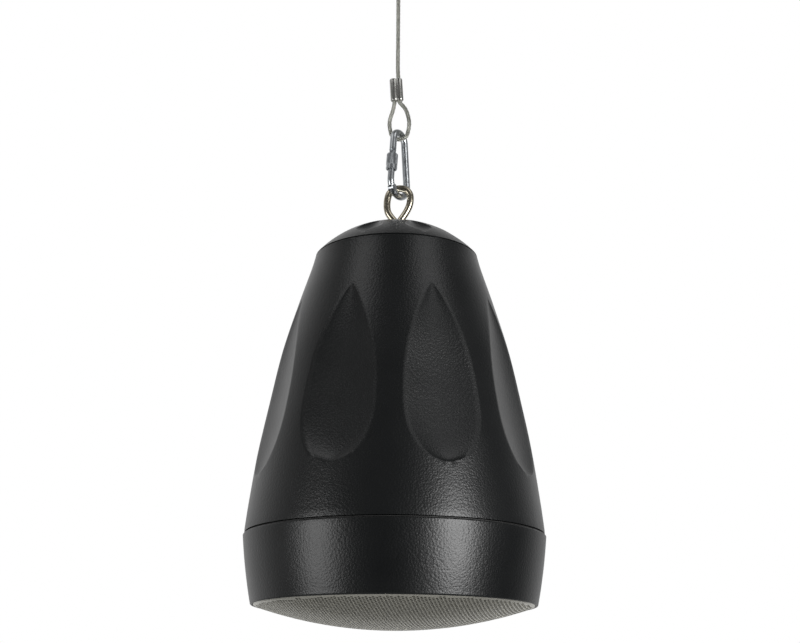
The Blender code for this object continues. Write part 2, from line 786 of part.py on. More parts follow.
def make_cable_inlet():
    """A grommet whose skin is pierced when the cable is fitted, and a gland in the deck under it."""
    sag = CAP_SPHERE_R - math.sqrt(CAP_SPHERE_R**2 - GROMMET_R**2)
    above = CAP_TOP + FIT
    below = CAP_TOP - CAP_WALL - sag - GROMMET_PLAY
    skin_top = above - 1.0
    grommet = turned(
        "cable_grommet",
        [
            (0.0, skin_top),
            (GROMMET_BORE_R, skin_top),
            (GROMMET_BORE_R, above + GROMMET_LIP),
            (GROMMET_R - 0.8, above + GROMMET_LIP),
            (GROMMET_R, above),
            (GROMMET_NECK_R, above),
            (GROMMET_NECK_R, below),
            (GROMMET_R, below),
            (GROMMET_R - 0.8, below - GROMMET_LIP),
            (GROMMET_BORE_R, below - GROMMET_LIP),
            (GROMMET_BORE_R, skin_top - GROMMET_SKIN),
            (0.0, skin_top - GROMMET_SKIN),
        ],
        "black_rubber",
        closed=False,
    )
    place_on_cap(grommet)
    x, y = polar(GLAND_CIRCLE_R, 180)
    seat = HOUSING_TOP + FIT
    nut_top = DECK_UNDER - FIT
    gland = turned(
        "cable_gland",
        [
            (GLAND_BORE_R, seat + GLAND_DOME),
            (GLAND_BORE_R + 1.4, seat + GLAND_DOME),
            (GLAND_HEAD_R, seat + GLAND_DOME - 2.6),
            (GLAND_HEAD_R, seat),
            (GLAND_THREAD_R, seat),
            (GLAND_THREAD_R, nut_top - 6.0),
            (GLAND_BORE_R, nut_top - 6.0),
        ],
        "black_plastic",
    )
    gland.location = (x * MM, y * MM, 0.0)
    nut = hex_prism("gland_nut", 2 * GLAND_HEAD_R - 1.0, nut_top - 4.0, nut_top, "black_plastic", (x, y))
    hole = cylinder("gland_nut_hole", GLAND_THREAD_R + FIT, nut_top - 6.0, nut_top + 2.0, "ferrite", (x, y))
    boolean(nut, hole)


def eye_path():
    """Centreline of the eye, from its free end at the neck, over the top and down the shank, in metres."""
    bottom = DECK_UNDER - EYE_SHANK_BELOW_DECK
    curve = catmull_rom([Vector((across, 0.0, EYE_TOP + height)) for across, height in EYE_BEND], 2)
    curve.append(Vector((0, 0, bottom)))
    return [Vector((p.x * MM, 0.0, h(p.z))) for p in curve]


def make_eye_bolt():
    wire("eye_bolt", eye_path(), EYE_WIRE_R, "stainless_wire")
    hole = EYE_WIRE_R + FIT
    above = HOUSING_TOP + FIT
    ring("deck_washer", hole, WASHER_R, above, above + WASHER_THICK, "zinc_plated_steel")
    nut_bottom = above + WASHER_THICK + FIT
    make_nut("deck_nut", nut_bottom)
    reach = pillar_places()[1] + PLATE_MARGIN
    corner = (reach, PLATE_WIDTH / 2, DECK_UNDER - FIT)
    plate = box("support_plate", (-reach, -PLATE_WIDTH / 2, PLATE_BOTTOM), corner, "zinc_plated_steel")
    through = (PLATE_BOTTOM - 1, DECK_UNDER + 1)
    holes = [cylinder("plate_hole", hole, *through, "ferrite")]
    for x in pillar_places():
        holes.append(cylinder("pillar_hole", SCREW_SHANK_R + FIT, *through, "ferrite", (x, 0.0), SCREW_SIDES))
    boolean(plate, joined("plate_holes", holes))
    below = PLATE_BOTTOM - FIT
    ring("lock_washer", hole, WASHER_R, below - WASHER_THICK, below, "zinc_plated_steel")
    make_nut("lock_nut", below - WASHER_THICK - FIT - NUT_THICK)


def make_nut(name, bottom):
    nut = hex_prism(name, NUT_FLATS, bottom, bottom + NUT_THICK, "zinc_plated_steel")
    boolean(nut, cylinder(name + "_hole", EYE_WIRE_R + FIT, bottom - 1, bottom + NUT_THICK + 1, "ferrite"))


def make_cap_screws():
    for name, centre in zip(("cap_screw_1", "cap_screw_2"), cap_screw_places()):
        head = DECK_UNDER - FIT - SCREW_HEAD_THICK
        screw_fastener(name, centre, head, 9.0)


def hook_frame():
    """Placement of the carabiner's plane: its X runs from the spine to the gate."""
    return Matrix.Translation((HOOK_SHIFT * MM, 0.0, 0.0)) @ hook_turn()


def hook_turn():
    return Matrix.Rotation(math.radians(HOOK_TURN - 180), 4, "Z")


def hook_point(across, height):
    """A point of the carabiner's plane, in metres."""
    return hook_frame() @ Vector((across * MM, 0.0, h(height)))


def hook_arc(radius, centre_height, start, end, count):
    """Points along a bow of the carabiner, with angles in degrees from the gate side."""
    angles = [math.radians(start + (end - start) * k / count) for k in range(count + 1)]
    return [hook_point(radius * math.cos(a), centre_height + radius * math.sin(a)) for a in angles]


def leg_frame():
    """Placement in which the gate's sloping leg stands upright at X = 0, with heights above the rim."""
    slope = math.radians(HOOK_TAPER)
    across = HOOK_LOW_R / math.cos(slope) - (NOSE - HOOK_LOW_CENTRE) * math.tan(slope)
    nose = Matrix.Translation((across * MM, 0.0, h(NOSE)))
    upright = Matrix.Translation((0.0, 0.0, -h(NOSE)))
    return hook_frame() @ nose @ Matrix.Rotation(-slope, 4, "Y") @ upright


def leg_point(height):
    return leg_frame() @ Vector((0.0, 0.0, h(height)))


def hinge_place():
    """Across and height of the gate's hinge pin, in the carabiner's plane."""
    angle = math.radians(HINGE_ANGLE)
    return HOOK_LOW_R * math.cos(angle), HOOK_LOW_CENTRE - HOOK_LOW_R * math.sin(angle)


def leg_box(name, half_width, half_thick, heights, look="ferrite"):
    """A box about the gate's leg, between two heights along it."""
    obj = box(name, (-half_width, -half_thick, heights[0]), (half_width, half_thick, heights[1]), look)
    obj.matrix_world = leg_frame()
    bpy.context.view_layer.update()
    return obj


def make_carabiner():
    """Pear-shaped snap hook: a small bow above, a large one below and straight sloping legs."""
    body_path = [
        leg_point(NOSE),
        *hook_arc(HOOK_HIGH_R, HOOK_HIGH_CENTRE, HOOK_TAPER, 180 - HOOK_TAPER, 12),
        *hook_arc(HOOK_LOW_R, HOOK_LOW_CENTRE, 180 - HOOK_TAPER, 360 - HINGE_ANGLE, 12),
    ]
    body = wire("carabiner_body", body_path, HOOK_WIRE_R, "zinc_plated_steel")
    tongue = leg_box(
        "tongue", TONGUE_WIDTH / 2, TONGUE_THICK / 2, (NOSE - GATE_GAP - TONGUE_LENGTH, NOSE + 0.5)
    )
    boolean(body, tongue, "UNION")
    cheeks = plane_disc("cheek_room", HOOK_WIRE_R + FIT + 0.2, HOOK_WIRE_R + 1.0, 20)
    boolean(cheeks, plane_disc("kept_lug", HOOK_WIRE_R + 2.0, FORK_THICK / 2))
    boolean(body, cheeks)
    boolean(body, plane_disc("hinge_lug", HOOK_WIRE_R, FORK_THICK / 2), "UNION")
    boolean(body, plane_disc("pin_hole", PIN_R + 0.1, HOOK_WIRE_R + 1.0, 12))
    make_gate()
    pin = plane_disc("gate_pin", PIN_R, HOOK_WIRE_R, 12, "zinc_plated_steel")
    smooth(pin)
    make_sleeve()


def plane_disc(name, radius, half_thick, sides=SMALL_SIDES, look="ferrite"):
    """A disc about the gate's hinge axis, square to the carabiner's plane."""
    across, height = hinge_place()

    def build(form):
        turn_over = Matrix.Rotation(math.pi / 2, 4, "X")
        bmesh.ops.create_cone(
            form,
            cap_ends=True,
            segments=sides,
            radius1=radius * MM,
            radius2=radius * MM,
            depth=2 * half_thick * MM,
            matrix=turn_over,
        )

    obj = add_object(name, mesh_from(name, build), look)
    obj.matrix_world = Matrix.Translation(hook_point(across, height)) @ hook_turn()
    bpy.context.view_layer.update()
    return obj


def make_gate():
    """The gate, with a fork round the body's hinge lug and a slot for its tongue."""
    path = [
        *hook_arc(HOOK_LOW_R, HOOK_LOW_CENTRE, 360 - HINGE_ANGLE, 360 + HOOK_TAPER, 4),
        leg_point(NOSE - GATE_GAP),
    ]
    gate = wire("carabiner_gate", path, HOOK_WIRE_R - 0.1, "zinc_plated_steel")
    boolean(gate, plane_disc("gate_eye", HOOK_WIRE_R, HOOK_WIRE_R - 0.25, 18), "UNION")
    boolean(gate, plane_disc("lug_room", HOOK_WIRE_R + FIT + 0.6, FORK_THICK / 2 + 0.15, 24))
    slot = leg_box(
        "tongue_slot",
        2 * HOOK_WIRE_R,
        TONGUE_THICK / 2 + 0.15,
        (NOSE - 2 * GATE_GAP - TONGUE_LENGTH, NOSE + 1.0),
    )
    boolean(gate, slot)
    boolean(gate, plane_disc("gate_pin_hole", PIN_R + 0.1, HOOK_WIRE_R + 1.0, 12))


def make_sleeve():
    """The knurled locking sleeve, screwed down clear of the nose."""
    top = NOSE - SLEEVE_TOP_BELOW_NOSE
    bottom = top - SLEEVE_LENGTH
    bore = HOOK_WIRE_R + SLIDE_FIT
    points = [
        (bore, top),
        (SLEEVE_R - 0.7, top),
        (SLEEVE_R, top - 0.7),
        (SLEEVE_R, bottom + 3.4),
        (SLEEVE_R - 0.35, bottom + 3.1),
        (SLEEVE_R - 0.35, bottom + 2.5),
        (SLEEVE_R, bottom + 2.2),
        (SLEEVE_R, bottom + 0.7),
        (SLEEVE_R - 0.7, bottom),
        (bore, bottom),
    ]
    sleeve = turned("locking_sleeve", points, "zinc_plated_steel", SLEEVE_FLUTES)
    sleeve.matrix_world = leg_frame()
    bpy.context.view_layer.update()


def rope_loop(low, direction, lean, shift, aside):
    """Points of a rope loop from its dead end to its live end; direction is 1 for the lower loop."""
    tilt = math.tan(math.radians(lean))
    mouth = low + direction * LOOP_HEIGHT

    def barrel(side, along):
        """A point on a barrel's axis, along millimetres from the ferrule's mouth."""
        from_middle = along - FERRULE_LENGTH / 2
        across = shift + side * FERRULE_SPACING / 2 - from_middle * tilt
        return Vector((across, 0.0, mouth + direction * along))

    def at(across, rise):
        return Vector((aside + across, 0.0, low + direction * rise))

    bow_r = LOOP_HALF_WIDTH - 0.6
    bow = [
        at(-bow_r * math.cos(a), bow_r - bow_r * math.sin(a)) for a in [math.pi * k / 4 for k in range(5)]
    ]
    ends = (FERRULE_LENGTH - 1.5, 3.0, 0.5, -1.0)
    left = [*[barrel(-1, along) for along in ends], at(-4.6, 23.0), at(-LOOP_HALF_WIDTH, 14.0)]
    right = [at(LOOP_HALF_WIDTH, 14.0), at(4.6, 23.0), *[barrel(1, along) for along in reversed(ends)]]
    return [*left, *bow, *right]


def rope_path():
    """Centreline of the rope, from its lower dead end to its upper one, in metres."""
    lower = rope_loop(LOOP_LOW, 1, FERRULE_TILT, FERRULE_SHIFT, LOOP_SHIFT)
    upper = rope_loop(LOOP_HIGH, -1, 0.0, -FERRULE_SPACING / 2, 0.0)
    low_end, high_end = LOWER_FERRULE + FERRULE_LENGTH, UPPER_FERRULE
    straight = [
        Vector((0.0, 0.0, low_end + (high_end - low_end) * share)) for share in (0.12, 0.35, 0.65, 0.9)
    ]
    curve = catmull_rom([*lower, *straight, *reversed(upper)], 2)
    return [Vector((p.x * MM, 0.0, h(p.z))) for p in curve]


def make_ferrule(name, bottom, lean, shift):
    """A figure-8 ferrule pressed on both strands of a loop."""
    middle = bottom + FERRULE_LENGTH / 2
    half = FERRULE_LENGTH / 2
    lobes, bores = [], []
    for side in (-1, 1):
        centre = (side * FERRULE_SPACING / 2, 0.0)
        lobe = cylinder(name + "_lobe", FERRULE_LOBE_R, middle - half, middle + half, "ferrule_aluminium", centre)
        bore = cylinder(name + "_bore", ROPE_R + FIT, middle - half - 1, middle + half + 1, "ferrite", centre)
        lobes.append(lobe)
        bores.append(bore)
    pivot = Matrix.Translation((0.0, 0.0, h(middle)))
    tilt = Matrix.Rotation(math.radians(-lean), 4, "Y")
    place = Matrix.Translation((shift * MM, 0.0, 0.0)) @ pivot @ tilt @ pivot.inverted()
    for obj in [*lobes, *bores]:
        obj.matrix_world = place
    bpy.context.view_layer.update()
    lobes[0].name = name
    boolean(lobes[0], lobes[1], "UNION")
    boolean(lobes[0], joined(name + "_bores", bores))


def make_suspension():
    wire("suspension_rope", rope_path(), ROPE_R, "galvanised_rope")
    make_ferrule("lower_ferrule", LOWER_FERRULE, FERRULE_TILT, FERRULE_SHIFT)
    make_ferrule("upper_ferrule", UPPER_FERRULE, 0.0, -FERRULE_SPACING / 2)


def grille_height(radius):
    """Height of the grille's outer face, a shallow dome that bulges below the rim."""
    sphere = (GRILLE_R**2 + GRILLE_BULGE**2) / (2 * GRILLE_BULGE)
    return -GRILLE_BULGE + sphere - math.sqrt(sphere**2 - radius**2)


def make_grille():
    shares = (0.0, 0.36, 0.72, 1.0)
    points = [(GRILLE_R, SHOULDER - FIT)]
    points += [(GRILLE_R * share, grille_height(GRILLE_R * share)) for share in reversed(shares)]
    grille = add_object("grille", outline_mesh("grille", points, False), "grille_steel")
    turn(grille, GRILLE_SIDES)
    sheet = grille.modifiers.new("Sheet", "SOLIDIFY")
    sheet.thickness = GRILLE_SHEET * MM
    sheet.offset = -1.0
    sheet.use_even_offset = True
    punches = []
    reach = int(GRILLE_PATTERN_R / GRILLE_PITCH) + 1
    for row in range(-reach, reach + 1):
        for column in range(-reach, reach + 1):
            x = (column + 0.5 * (row % 2)) * GRILLE_PITCH
            y = row * GRILLE_PITCH * math.sqrt(3) / 2
            if math.hypot(x, y) <= GRILLE_PATTERN_R:
                low = grille_height(math.hypot(x, y)) - 4
                punches.append(cylinder("punch", GRILLE_HOLE_R, low, low + 10, "ferrite", (x, y), 6))
    boolean(grille, joined("grille_punches", punches))
    smooth(grille)


def make_baffle_screws():
    for i in range(BOSSES):
        centre = polar(BOSS_CIRCLE_R, 45 + 360 / BOSSES * i)
        head = BAFFLE_BOTTOM - FIT - SCREW_HEAD_THICK
        screw_fastener(f"baffle_screw_{i + 1}", centre, head, BAFFLE_SCREW_LENGTH)


def make_basket():
    """Pressed steel basket: flange, four legs, spider landing and rear plate."""
    points = [
        (REAR_HOLE_R, REAR),
        (REAR_R, REAR),
        (LANDING_HOLE_R, LANDING),
        (LANDING_R, LANDING),
        (FLANGE_HOLE_R - 2.0, FLANGE_TOP + 10.0),
        (FLANGE_HOLE_R, FLANGE_TOP),
        (FLANGE_R, FLANGE_TOP),
    ]
    basket = add_object("driver_basket", outline_mesh("driver_basket", points, False), "blued_steel")
    turn(basket, DRIVER_SIDES)
    sheet = basket.modifiers.new("Sheet", "SOLIDIFY")
    sheet.thickness = BASKET_SHEET * MM
    sheet.offset = -1.0
    sheet.use_even_offset = True
    half = math.radians(WINDOW_ANGLE / 2)
    low, high = FLANGE_TOP + 6.0, LANDING - 4.0
    for i in range(4):
        middle = math.radians(45 + 90 * i)
        inner, outer = LANDING_R - 4.0, FLANGE_R

        def build(form, middle=middle):
            corners = [
                Vector((r * math.sin(a) * MM, -r * math.cos(a) * MM, h(z)))
                for z in (low, high)
                for r, a in (
                    (inner, middle - half),
                    (outer, middle - half),
                    (outer, middle + half),
                    (inner, middle + half),
                )
            ]
            bmesh.ops.convex_hull(form, input=[form.verts.new(corner) for corner in corners])

        boolean(basket, add_object("window", mesh_from("window", build), "ferrite"))
    holes = [
        cylinder(
            "flange_hole",
            SCREW_SHANK_R + FIT,
            FLANGE_BOTTOM - 1,
            FLANGE_TOP + 1,
            "ferrite",
            polar(DRIVER_SCREW_CIRCLE_R, 90 * i),
            SCREW_SIDES,
        )
        for i in range(4)
    ]
    boolean(basket, joined("flange_holes", holes))
    smooth(basket)


def make_driver_fixings():
    bottom = FLANGE_TOP + FIT
    ring("driver_gasket", CUTOUT_R, FLANGE_R, bottom, bottom + DRIVER_GASKET_THICK, "black_rubber", 24)
    gasket = bpy.data.objects["driver_gasket"]
    holes = []
    for i in range(4):
        centre = polar(DRIVER_SCREW_CIRCLE_R, 90 * i)
        head = FLANGE_BOTTOM - FIT - SCREW_HEAD_THICK
        screw_fastener(f"driver_screw_{i + 1}", centre, head, 8.0)
        holes.append(cylinder("gasket_hole", SCREW_SHANK_R + FIT, bottom - 1, bottom + 2, "ferrite", centre, SCREW_SIDES))
    boolean(gasket, joined("gasket_holes", holes))


def make_soft_parts():
    """Rubber surround and cloth spider, which bend as the cone moves."""
    lip_in, lip_out = FLANGE_HOLE_R + FIT, FLANGE_HOLE_R + FIT + SURROUND_LIP
    outer_lip = FLANGE_BOTTOM - FIT
    inner_lip = CONE_EDGE - FIT
    middle = (CONE_R + FLANGE_HOLE_R) / 2 + 0.6
    half = (FLANGE_HOLE_R - CONE_R) / 2
    points = [(CONE_R - 2.2, inner_lip), (middle - half, inner_lip)]
    for angle in (220, 270, 320):
        a = math.radians(angle)
        points.append((middle + half * math.cos(a), outer_lip + SURROUND_DROP * math.sin(a) - 0.6))
    points += [(lip_in, outer_lip), (lip_out, outer_lip)]
    open_shell("surround", list(reversed(points)), SURROUND_SHEET, "black_rubber", flip=True)
    outer = LANDING - BASKET_SHEET - FIT
    collar = outer + SPIDER_RISE
    inner_r = FORMER_R + FORMER_WALL + FIT
    waves = [(LANDING_HOLE_R + SPIDER_SEAT, outer), (LANDING_HOLE_R + SPIDER_SHEET, outer)]
    steps = 3
    for k in range(steps):
        r = LANDING_HOLE_R - (k + 1) * (LANDING_HOLE_R - inner_r - SPIDER_RISE) / (steps + 0.5)
        waves.append((r, outer - (SPIDER_WAVE if k % 2 == 0 else 0.0)))
    waves += [(inner_r + SPIDER_COLLAR, outer), (inner_r + SPIDER_SHEET, collar)]
    open_shell("spider", waves, SPIDER_SHEET, "spider_cloth", flip=True)


def open_shell(name, points, thickness, look, flip=False, sides=DRIVER_SIDES):
    """A turned sheet: an open outline given a thickness away from its outer face."""
    obj = add_object(name, outline_mesh(name, points, False), look)
    turn(obj, sides)
    sheet = obj.modifiers.new("Sheet", "SOLIDIFY")
    sheet.thickness = thickness * MM
    sheet.offset = 1.0 if flip else -1.0
    sheet.use_even_offset = True
    return smooth(obj)


def make_cone():
    edge = CONE_EDGE
    middle_r = (CONE_R + NECK_R) / 2
    points = [(NECK_R, NECK), (middle_r, (edge + NECK) / 2 + 1.8), (CONE_R, edge + 0.7)]
    points += [(CONE_R, edge), (middle_r, (edge + NECK) / 2 + 1.8 - CONE_SHEET), (NECK_R, NECK - CONE_SHEET)]
    turned("cone", points, "pulp_cone", DRIVER_SIDES)
    start = NECK - CONE_SHEET - 0.6
    end = start - WHIZZER_DEPTH
    bend_r = NECK_R + 5.0
    points = [
        (NECK_R + 0.9, start),
        (bend_r + 0.6, start - WHIZZER_DEPTH * 0.65),
        (WHIZZER_R, end + 0.6),
        (WHIZZER_R, end),
        (bend_r, start - WHIZZER_DEPTH * 0.7),
        (NECK_R + 0.4, start),
    ]
    turned("whizzer_cone", points, "pulp_cone", DRIVER_SIDES)
    front = NECK - 8.0
    top = TOP_PLATE_BOTTOM + TOP_PLATE_THICK + 2.5
    ring("coil_former", FORMER_R, FORMER_R + FORMER_WALL, front, top, "phenolic_strip", DRIVER_SIDES)
    coil_middle = TOP_PLATE_BOTTOM + TOP_PLATE_THICK / 2
    coil_in = FORMER_R + FORMER_WALL + 0.25
    low, high = coil_middle - COIL_HEIGHT / 2, coil_middle + COIL_HEIGHT / 2
    ring("voice_coil", coil_in, COIL_R, low, high, "copper_winding", DRIVER_SIDES)
    cap_r = FORMER_R - FIT
    rise = (0.0, 2.6, 4.0)
    points = [(0.0, front - rise[2] + 0.6), (cap_r * 0.6, front - rise[1] + 0.6), (cap_r, front + 0.6)]
    points += [(cap_r, front), (cap_r * 0.6, front - rise[1]), (0.0, front - rise[2])]
    turned("dust_cap", points, "pulp_cone", DRIVER_SIDES, closed=False)


def make_magnet():
    ring(
        "magnet_top_plate",
        TOP_PLATE_HOLE_R,
        TOP_PLATE_R,
        TOP_PLATE_BOTTOM,
        TOP_PLATE_BOTTOM + TOP_PLATE_THICK,
        "zinc_plated_steel",
        DRIVER_SIDES,
    )
    ring("magnet", MAGNET_HOLE_R, MAGNET_R, MAGNET_BOTTOM, MAGNET_BOTTOM + MAGNET_THICK, "ferrite", DRIVER_SIDES)
    points = [
        (0.0, YOKE_BOTTOM + YOKE_THICK),
        (YOKE_R, YOKE_BOTTOM + YOKE_THICK),
        (YOKE_R, YOKE_BOTTOM),
        (POLE_R, YOKE_BOTTOM),
        (POLE_R, TOP_PLATE_BOTTOM),
        (0.0, TOP_PLATE_BOTTOM),
    ]
    turned("magnet_yoke", points, "zinc_plated_steel", DRIVER_SIDES, closed=False)


def pillar_places():
    reach = CORE_WIDTH / 2 + FIT + FRAME_SHEET + FRAME_FOOT / 2
    return (-reach, reach)


def make_transformer():
    half = CORE_WIDTH / 2
    inside = half + FIT
    outside = inside + FRAME_SHEET
    thick = CORE_THICK / 2
    core = box("transformer_core", (-half, -thick, CORE_BOTTOM), (half, thick, CORE_TOP), "core_lamination")
    yoke = CORE_WIDTH / 6
    leg = CORE_WIDTH / 6
    for side in (-1, 1):
        across = sorted((side * leg, side * (half - yoke)))
        window = box(
            "core_window",
            (across[0], -thick - 1, CORE_BOTTOM + yoke),
            (across[1], thick + 1, CORE_TOP - yoke),
            "ferrite",
        )
        boolean(core, window)
    make_frame(outside, thick)
    make_winding(leg, thick, yoke, half - yoke)
    for side, x in zip(("left", "right"), pillar_places()):
        low = FRAME_TOP + FIT
        name = "transformer_pillar_" + side
        pillar = hex_prism(name, PILLAR_FLATS, low, PLATE_BOTTOM - FIT, "zinc_plated_steel", (x, 0.0))
        bore = cylinder("pillar_bore", SCREW_SHANK_R + FIT, low - 1, low + 10, "ferrite", (x, 0.0), SCREW_SIDES)
        boolean(pillar, bore)
        head = FRAME_TOP - FRAME_SHEET - FIT - SCREW_HEAD_THICK
        screw_fastener("transformer_screw_" + side, (x, 0.0), head, FRAME_SHEET + 2 * FIT + 8.0)


def make_frame(outside, thick):
    """Folded steel strap round the core, with a foot on each side at its top."""
    low = CORE_BOTTOM - FIT - FRAME_SHEET
    inner = outside - FRAME_SHEET
    top, under = FRAME_TOP, FRAME_TOP - FRAME_SHEET
    foot = outside + FRAME_FOOT
    right = [(inner, top), (foot, top), (foot, under), (outside, under), (outside, low)]
    left = [(-x, z) for x, z in reversed(right)]
    profile = [*right, *left, (-inner, low + FRAME_SHEET), (inner, low + FRAME_SHEET)]
    half = thick * 0.7

    def build(form):
        face = form.faces.new([form.verts.new((x * MM, -half * MM, h(z))) for x, z in profile])
        pushed = bmesh.ops.extrude_face_region(form, geom=[face])
        moved = [item for item in pushed["geom"] if isinstance(item, bmesh.types.BMVert)]
        bmesh.ops.translate(form, verts=moved, vec=(0.0, 2 * half * MM, 0.0))
        bmesh.ops.recalc_face_normals(form, faces=form.faces)

    strap = add_object("transformer_frame", mesh_from("transformer_frame", build), "zinc_plated_steel")
    holes = [
        cylinder("foot_hole", SCREW_SHANK_R + FIT, FRAME_TOP - 4, FRAME_TOP + 2, "ferrite", (x, 0.0), SCREW_SIDES)
        for x in pillar_places()
    ]
    boolean(strap, joined("foot_holes", holes))


def make_winding(leg, thick, yoke, window_edge):
    """Bobbin and taped winding round the core's middle leg."""
    low, high = CORE_BOTTOM + yoke + FIT, CORE_TOP - yoke - FIT
    tube_x, tube_y = leg + FIT, thick + FIT
    flange_x = window_edge - FIT
    flange_y = tube_y + flange_x - tube_x
    bobbin = box("transformer_bobbin", (-flange_x, -flange_y, low), (flange_x, flange_y, high), "bobbin_nylon")
    wall = BOBBIN_WALL
    groove = box(
        "winding_groove",
        (-flange_x - 1, -flange_y - 1, low + 1.2),
        (flange_x + 1, flange_y + 1, high - 1.2),
        "ferrite",
    )
    core_side = box(
        "groove_core",
        (-tube_x - wall, -tube_y - wall, low),
        (tube_x + wall, tube_y + wall, high),
        "ferrite",
    )
    boolean(groove, core_side)
    boolean(bobbin, groove)
    boolean(bobbin, box("leg_hole", (-tube_x, -tube_y, low - 1), (tube_x, tube_y, high + 1), "ferrite"))
    edge_x, edge_y = flange_x - 0.6, flange_y - 0.6
    winding = box(
        "transformer_winding",
        (-edge_x, -edge_y, low + 1.2 + FIT),
        (edge_x, edge_y, high - 1.2 - FIT),
        "winding_tape",
    )
    bevel = winding.modifiers.new("Rounded", "BEVEL")
    bevel.width = 0.8 * MM
    bevel.segments = 1
    inner_x, inner_y = tube_x + wall + FIT, tube_y + wall + FIT
    boolean(winding, box("winding_hole", (-inner_x, -inner_y, low), (inner_x, inner_y, high), "ferrite"))


def make_wiring():
    wide, deep, tall = BLOCK_SIZE
    top = DECK_UNDER - FIT
    y = -BLOCK_CIRCLE_R
    block = box("terminal_block", (-wide / 2, y - deep / 2, top - tall), (wide / 2, y + deep / 2, top), "black_plastic")
    bevel = block.modifiers.new("Rounded", "BEVEL")
    bevel.width = 0.6 * MM
    bevel.segments = 1
    for side in (-1, 1):
        x = side * (LEAD_SPACING / 2 + 3.5)
        name = "terminal_screw_" + ("left" if side < 0 else "right")
        low = top - tall - FIT
        cylinder(name, TERMINAL_SCREW_R, low - TERMINAL_SCREW_HEAD, low, "zinc_plated_steel", (x, y), SCREW_SIDES)
    strip_bottom = LANDING + FIT
    strip_y = -(LANDING_R + LANDING_HOLE_R) / 2
    strip_top = strip_bottom + 9.0
    box("driver_terminal", (-8.0, strip_y - 0.75, strip_bottom), (8.0, strip_y + 0.75, strip_top), "phenolic_strip")
    yoke = CORE_WIDTH / 6
    flange_low, flange_high = CORE_BOTTOM + yoke + FIT, CORE_TOP - yoke - FIT
    solder = -(CORE_THICK / 2 + FIT + 4.4)
    outside = strip_y - LEAD_PLAY
    for side, colour in ((-1, "red"), (1, "black")):
        x = side * LEAD_SPACING / 2
        line = [
            Vector((x, y + 1.5, top - tall - FIT)),
            Vector((x, y + 2.5, top - tall - 6.0)),
            Vector((x, (y + solder) / 2, flange_high + 8.0)),
            Vector((x, solder - 0.5, flange_high + 4.0)),
            Vector((x, solder, flange_high + FIT)),
        ]
        lead("line_lead_" + colour, line, colour)
        driver = [
            Vector((x, solder, flange_low - 1.5 * FIT)),
            Vector((x, solder - 1.5, flange_low - 8.0)),
            Vector((x, (solder + 3 * outside) / 4, (flange_low + YOKE_BOTTOM) / 2)),
            Vector((x, outside, YOKE_BOTTOM + 2 * MAGNET_THICK)),
            Vector((x, outside, YOKE_BOTTOM)),
            Vector((x, strip_y - 0.6, strip_top + 5.0)),
            Vector((x, strip_y, strip_top + FIT)),
        ]
        lead("driver_lead_" + colour, driver, colour)


def lead(name, route, colour):
    """An insulated lead along a route of points above the rim, in millimetres."""
    points = [Vector((p.x * MM, p.y * MM, h(p.z))) for p in catmull_rom(route, 2)]
    wire(name, points, LEAD_R, colour + "_insulation", resolution=1)


def main():
    clear_scene()
    make_suspension()
    make_carabiner()
    make_eye_bolt()
    make_cap()
    make_cap_screws()
    make_cable_inlet()
    make_housing()
    make_ring_gasket()
    make_front_ring()
    make_baffle_screws()
    make_grille()
    make_basket()
    make_driver_fixings()
    make_soft_parts()
    make_cone()
    make_magnet()
    make_transformer()
    make_wiring()


main()
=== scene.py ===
# %% [markdown]
# # A hanging projector speaker
#
# A PA projector speaker hangs from a wire rope: a bell-shaped black plastic housing with eight
# teardrop hollows, a ring with a domed steel grille under it, and a cap with an eye bolt on top.
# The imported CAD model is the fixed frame. This lesson dresses it: each shape that the eye meets is
# modelled again with finer steps, and each solid that stays gets the finish of its real material.

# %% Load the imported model
import math

import bpy
from mathutils import Matrix, Vector


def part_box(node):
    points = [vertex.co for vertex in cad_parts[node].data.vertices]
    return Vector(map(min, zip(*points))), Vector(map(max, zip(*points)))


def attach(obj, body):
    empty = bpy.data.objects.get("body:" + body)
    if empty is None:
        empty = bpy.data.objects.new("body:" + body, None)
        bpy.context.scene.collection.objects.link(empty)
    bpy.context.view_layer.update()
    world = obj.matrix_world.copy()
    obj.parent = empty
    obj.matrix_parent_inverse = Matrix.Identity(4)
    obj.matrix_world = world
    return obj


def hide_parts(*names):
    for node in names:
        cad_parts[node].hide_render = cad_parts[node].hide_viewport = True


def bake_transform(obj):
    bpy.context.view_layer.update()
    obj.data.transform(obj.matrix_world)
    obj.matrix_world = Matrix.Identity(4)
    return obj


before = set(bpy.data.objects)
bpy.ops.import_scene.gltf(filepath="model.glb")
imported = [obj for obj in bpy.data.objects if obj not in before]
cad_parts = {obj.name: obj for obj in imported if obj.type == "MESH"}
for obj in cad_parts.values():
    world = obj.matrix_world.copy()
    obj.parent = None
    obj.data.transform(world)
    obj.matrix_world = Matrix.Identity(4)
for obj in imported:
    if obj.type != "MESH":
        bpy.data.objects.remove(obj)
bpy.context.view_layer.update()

# %% [markdown]
# ## Heights
#
# A drawing of a speaker gives heights above the rim it would stand on, in millimetres. The frame's
# origin is the hook that the rope hangs from, so one helper turns a drawing height into a world Z.

# %% Millimetres and heights
MM = 0.001
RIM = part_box("front_ring")[0].z


def h(height):
    """World Z of a height in millimetres above the ring's rim."""
    return RIM + height * MM


print("The rim hangs", round(-RIM / MM, 1), "mm under the hook")

# %% [markdown]
# ## Camera
#
# The picture is taken from about a metre in front and a little below, with the lens tilted up. A
# long lens and a short distance can show an object at the same size, and only the distance sets
# how much the seams bow, so the distance was fitted first and the lens after it.

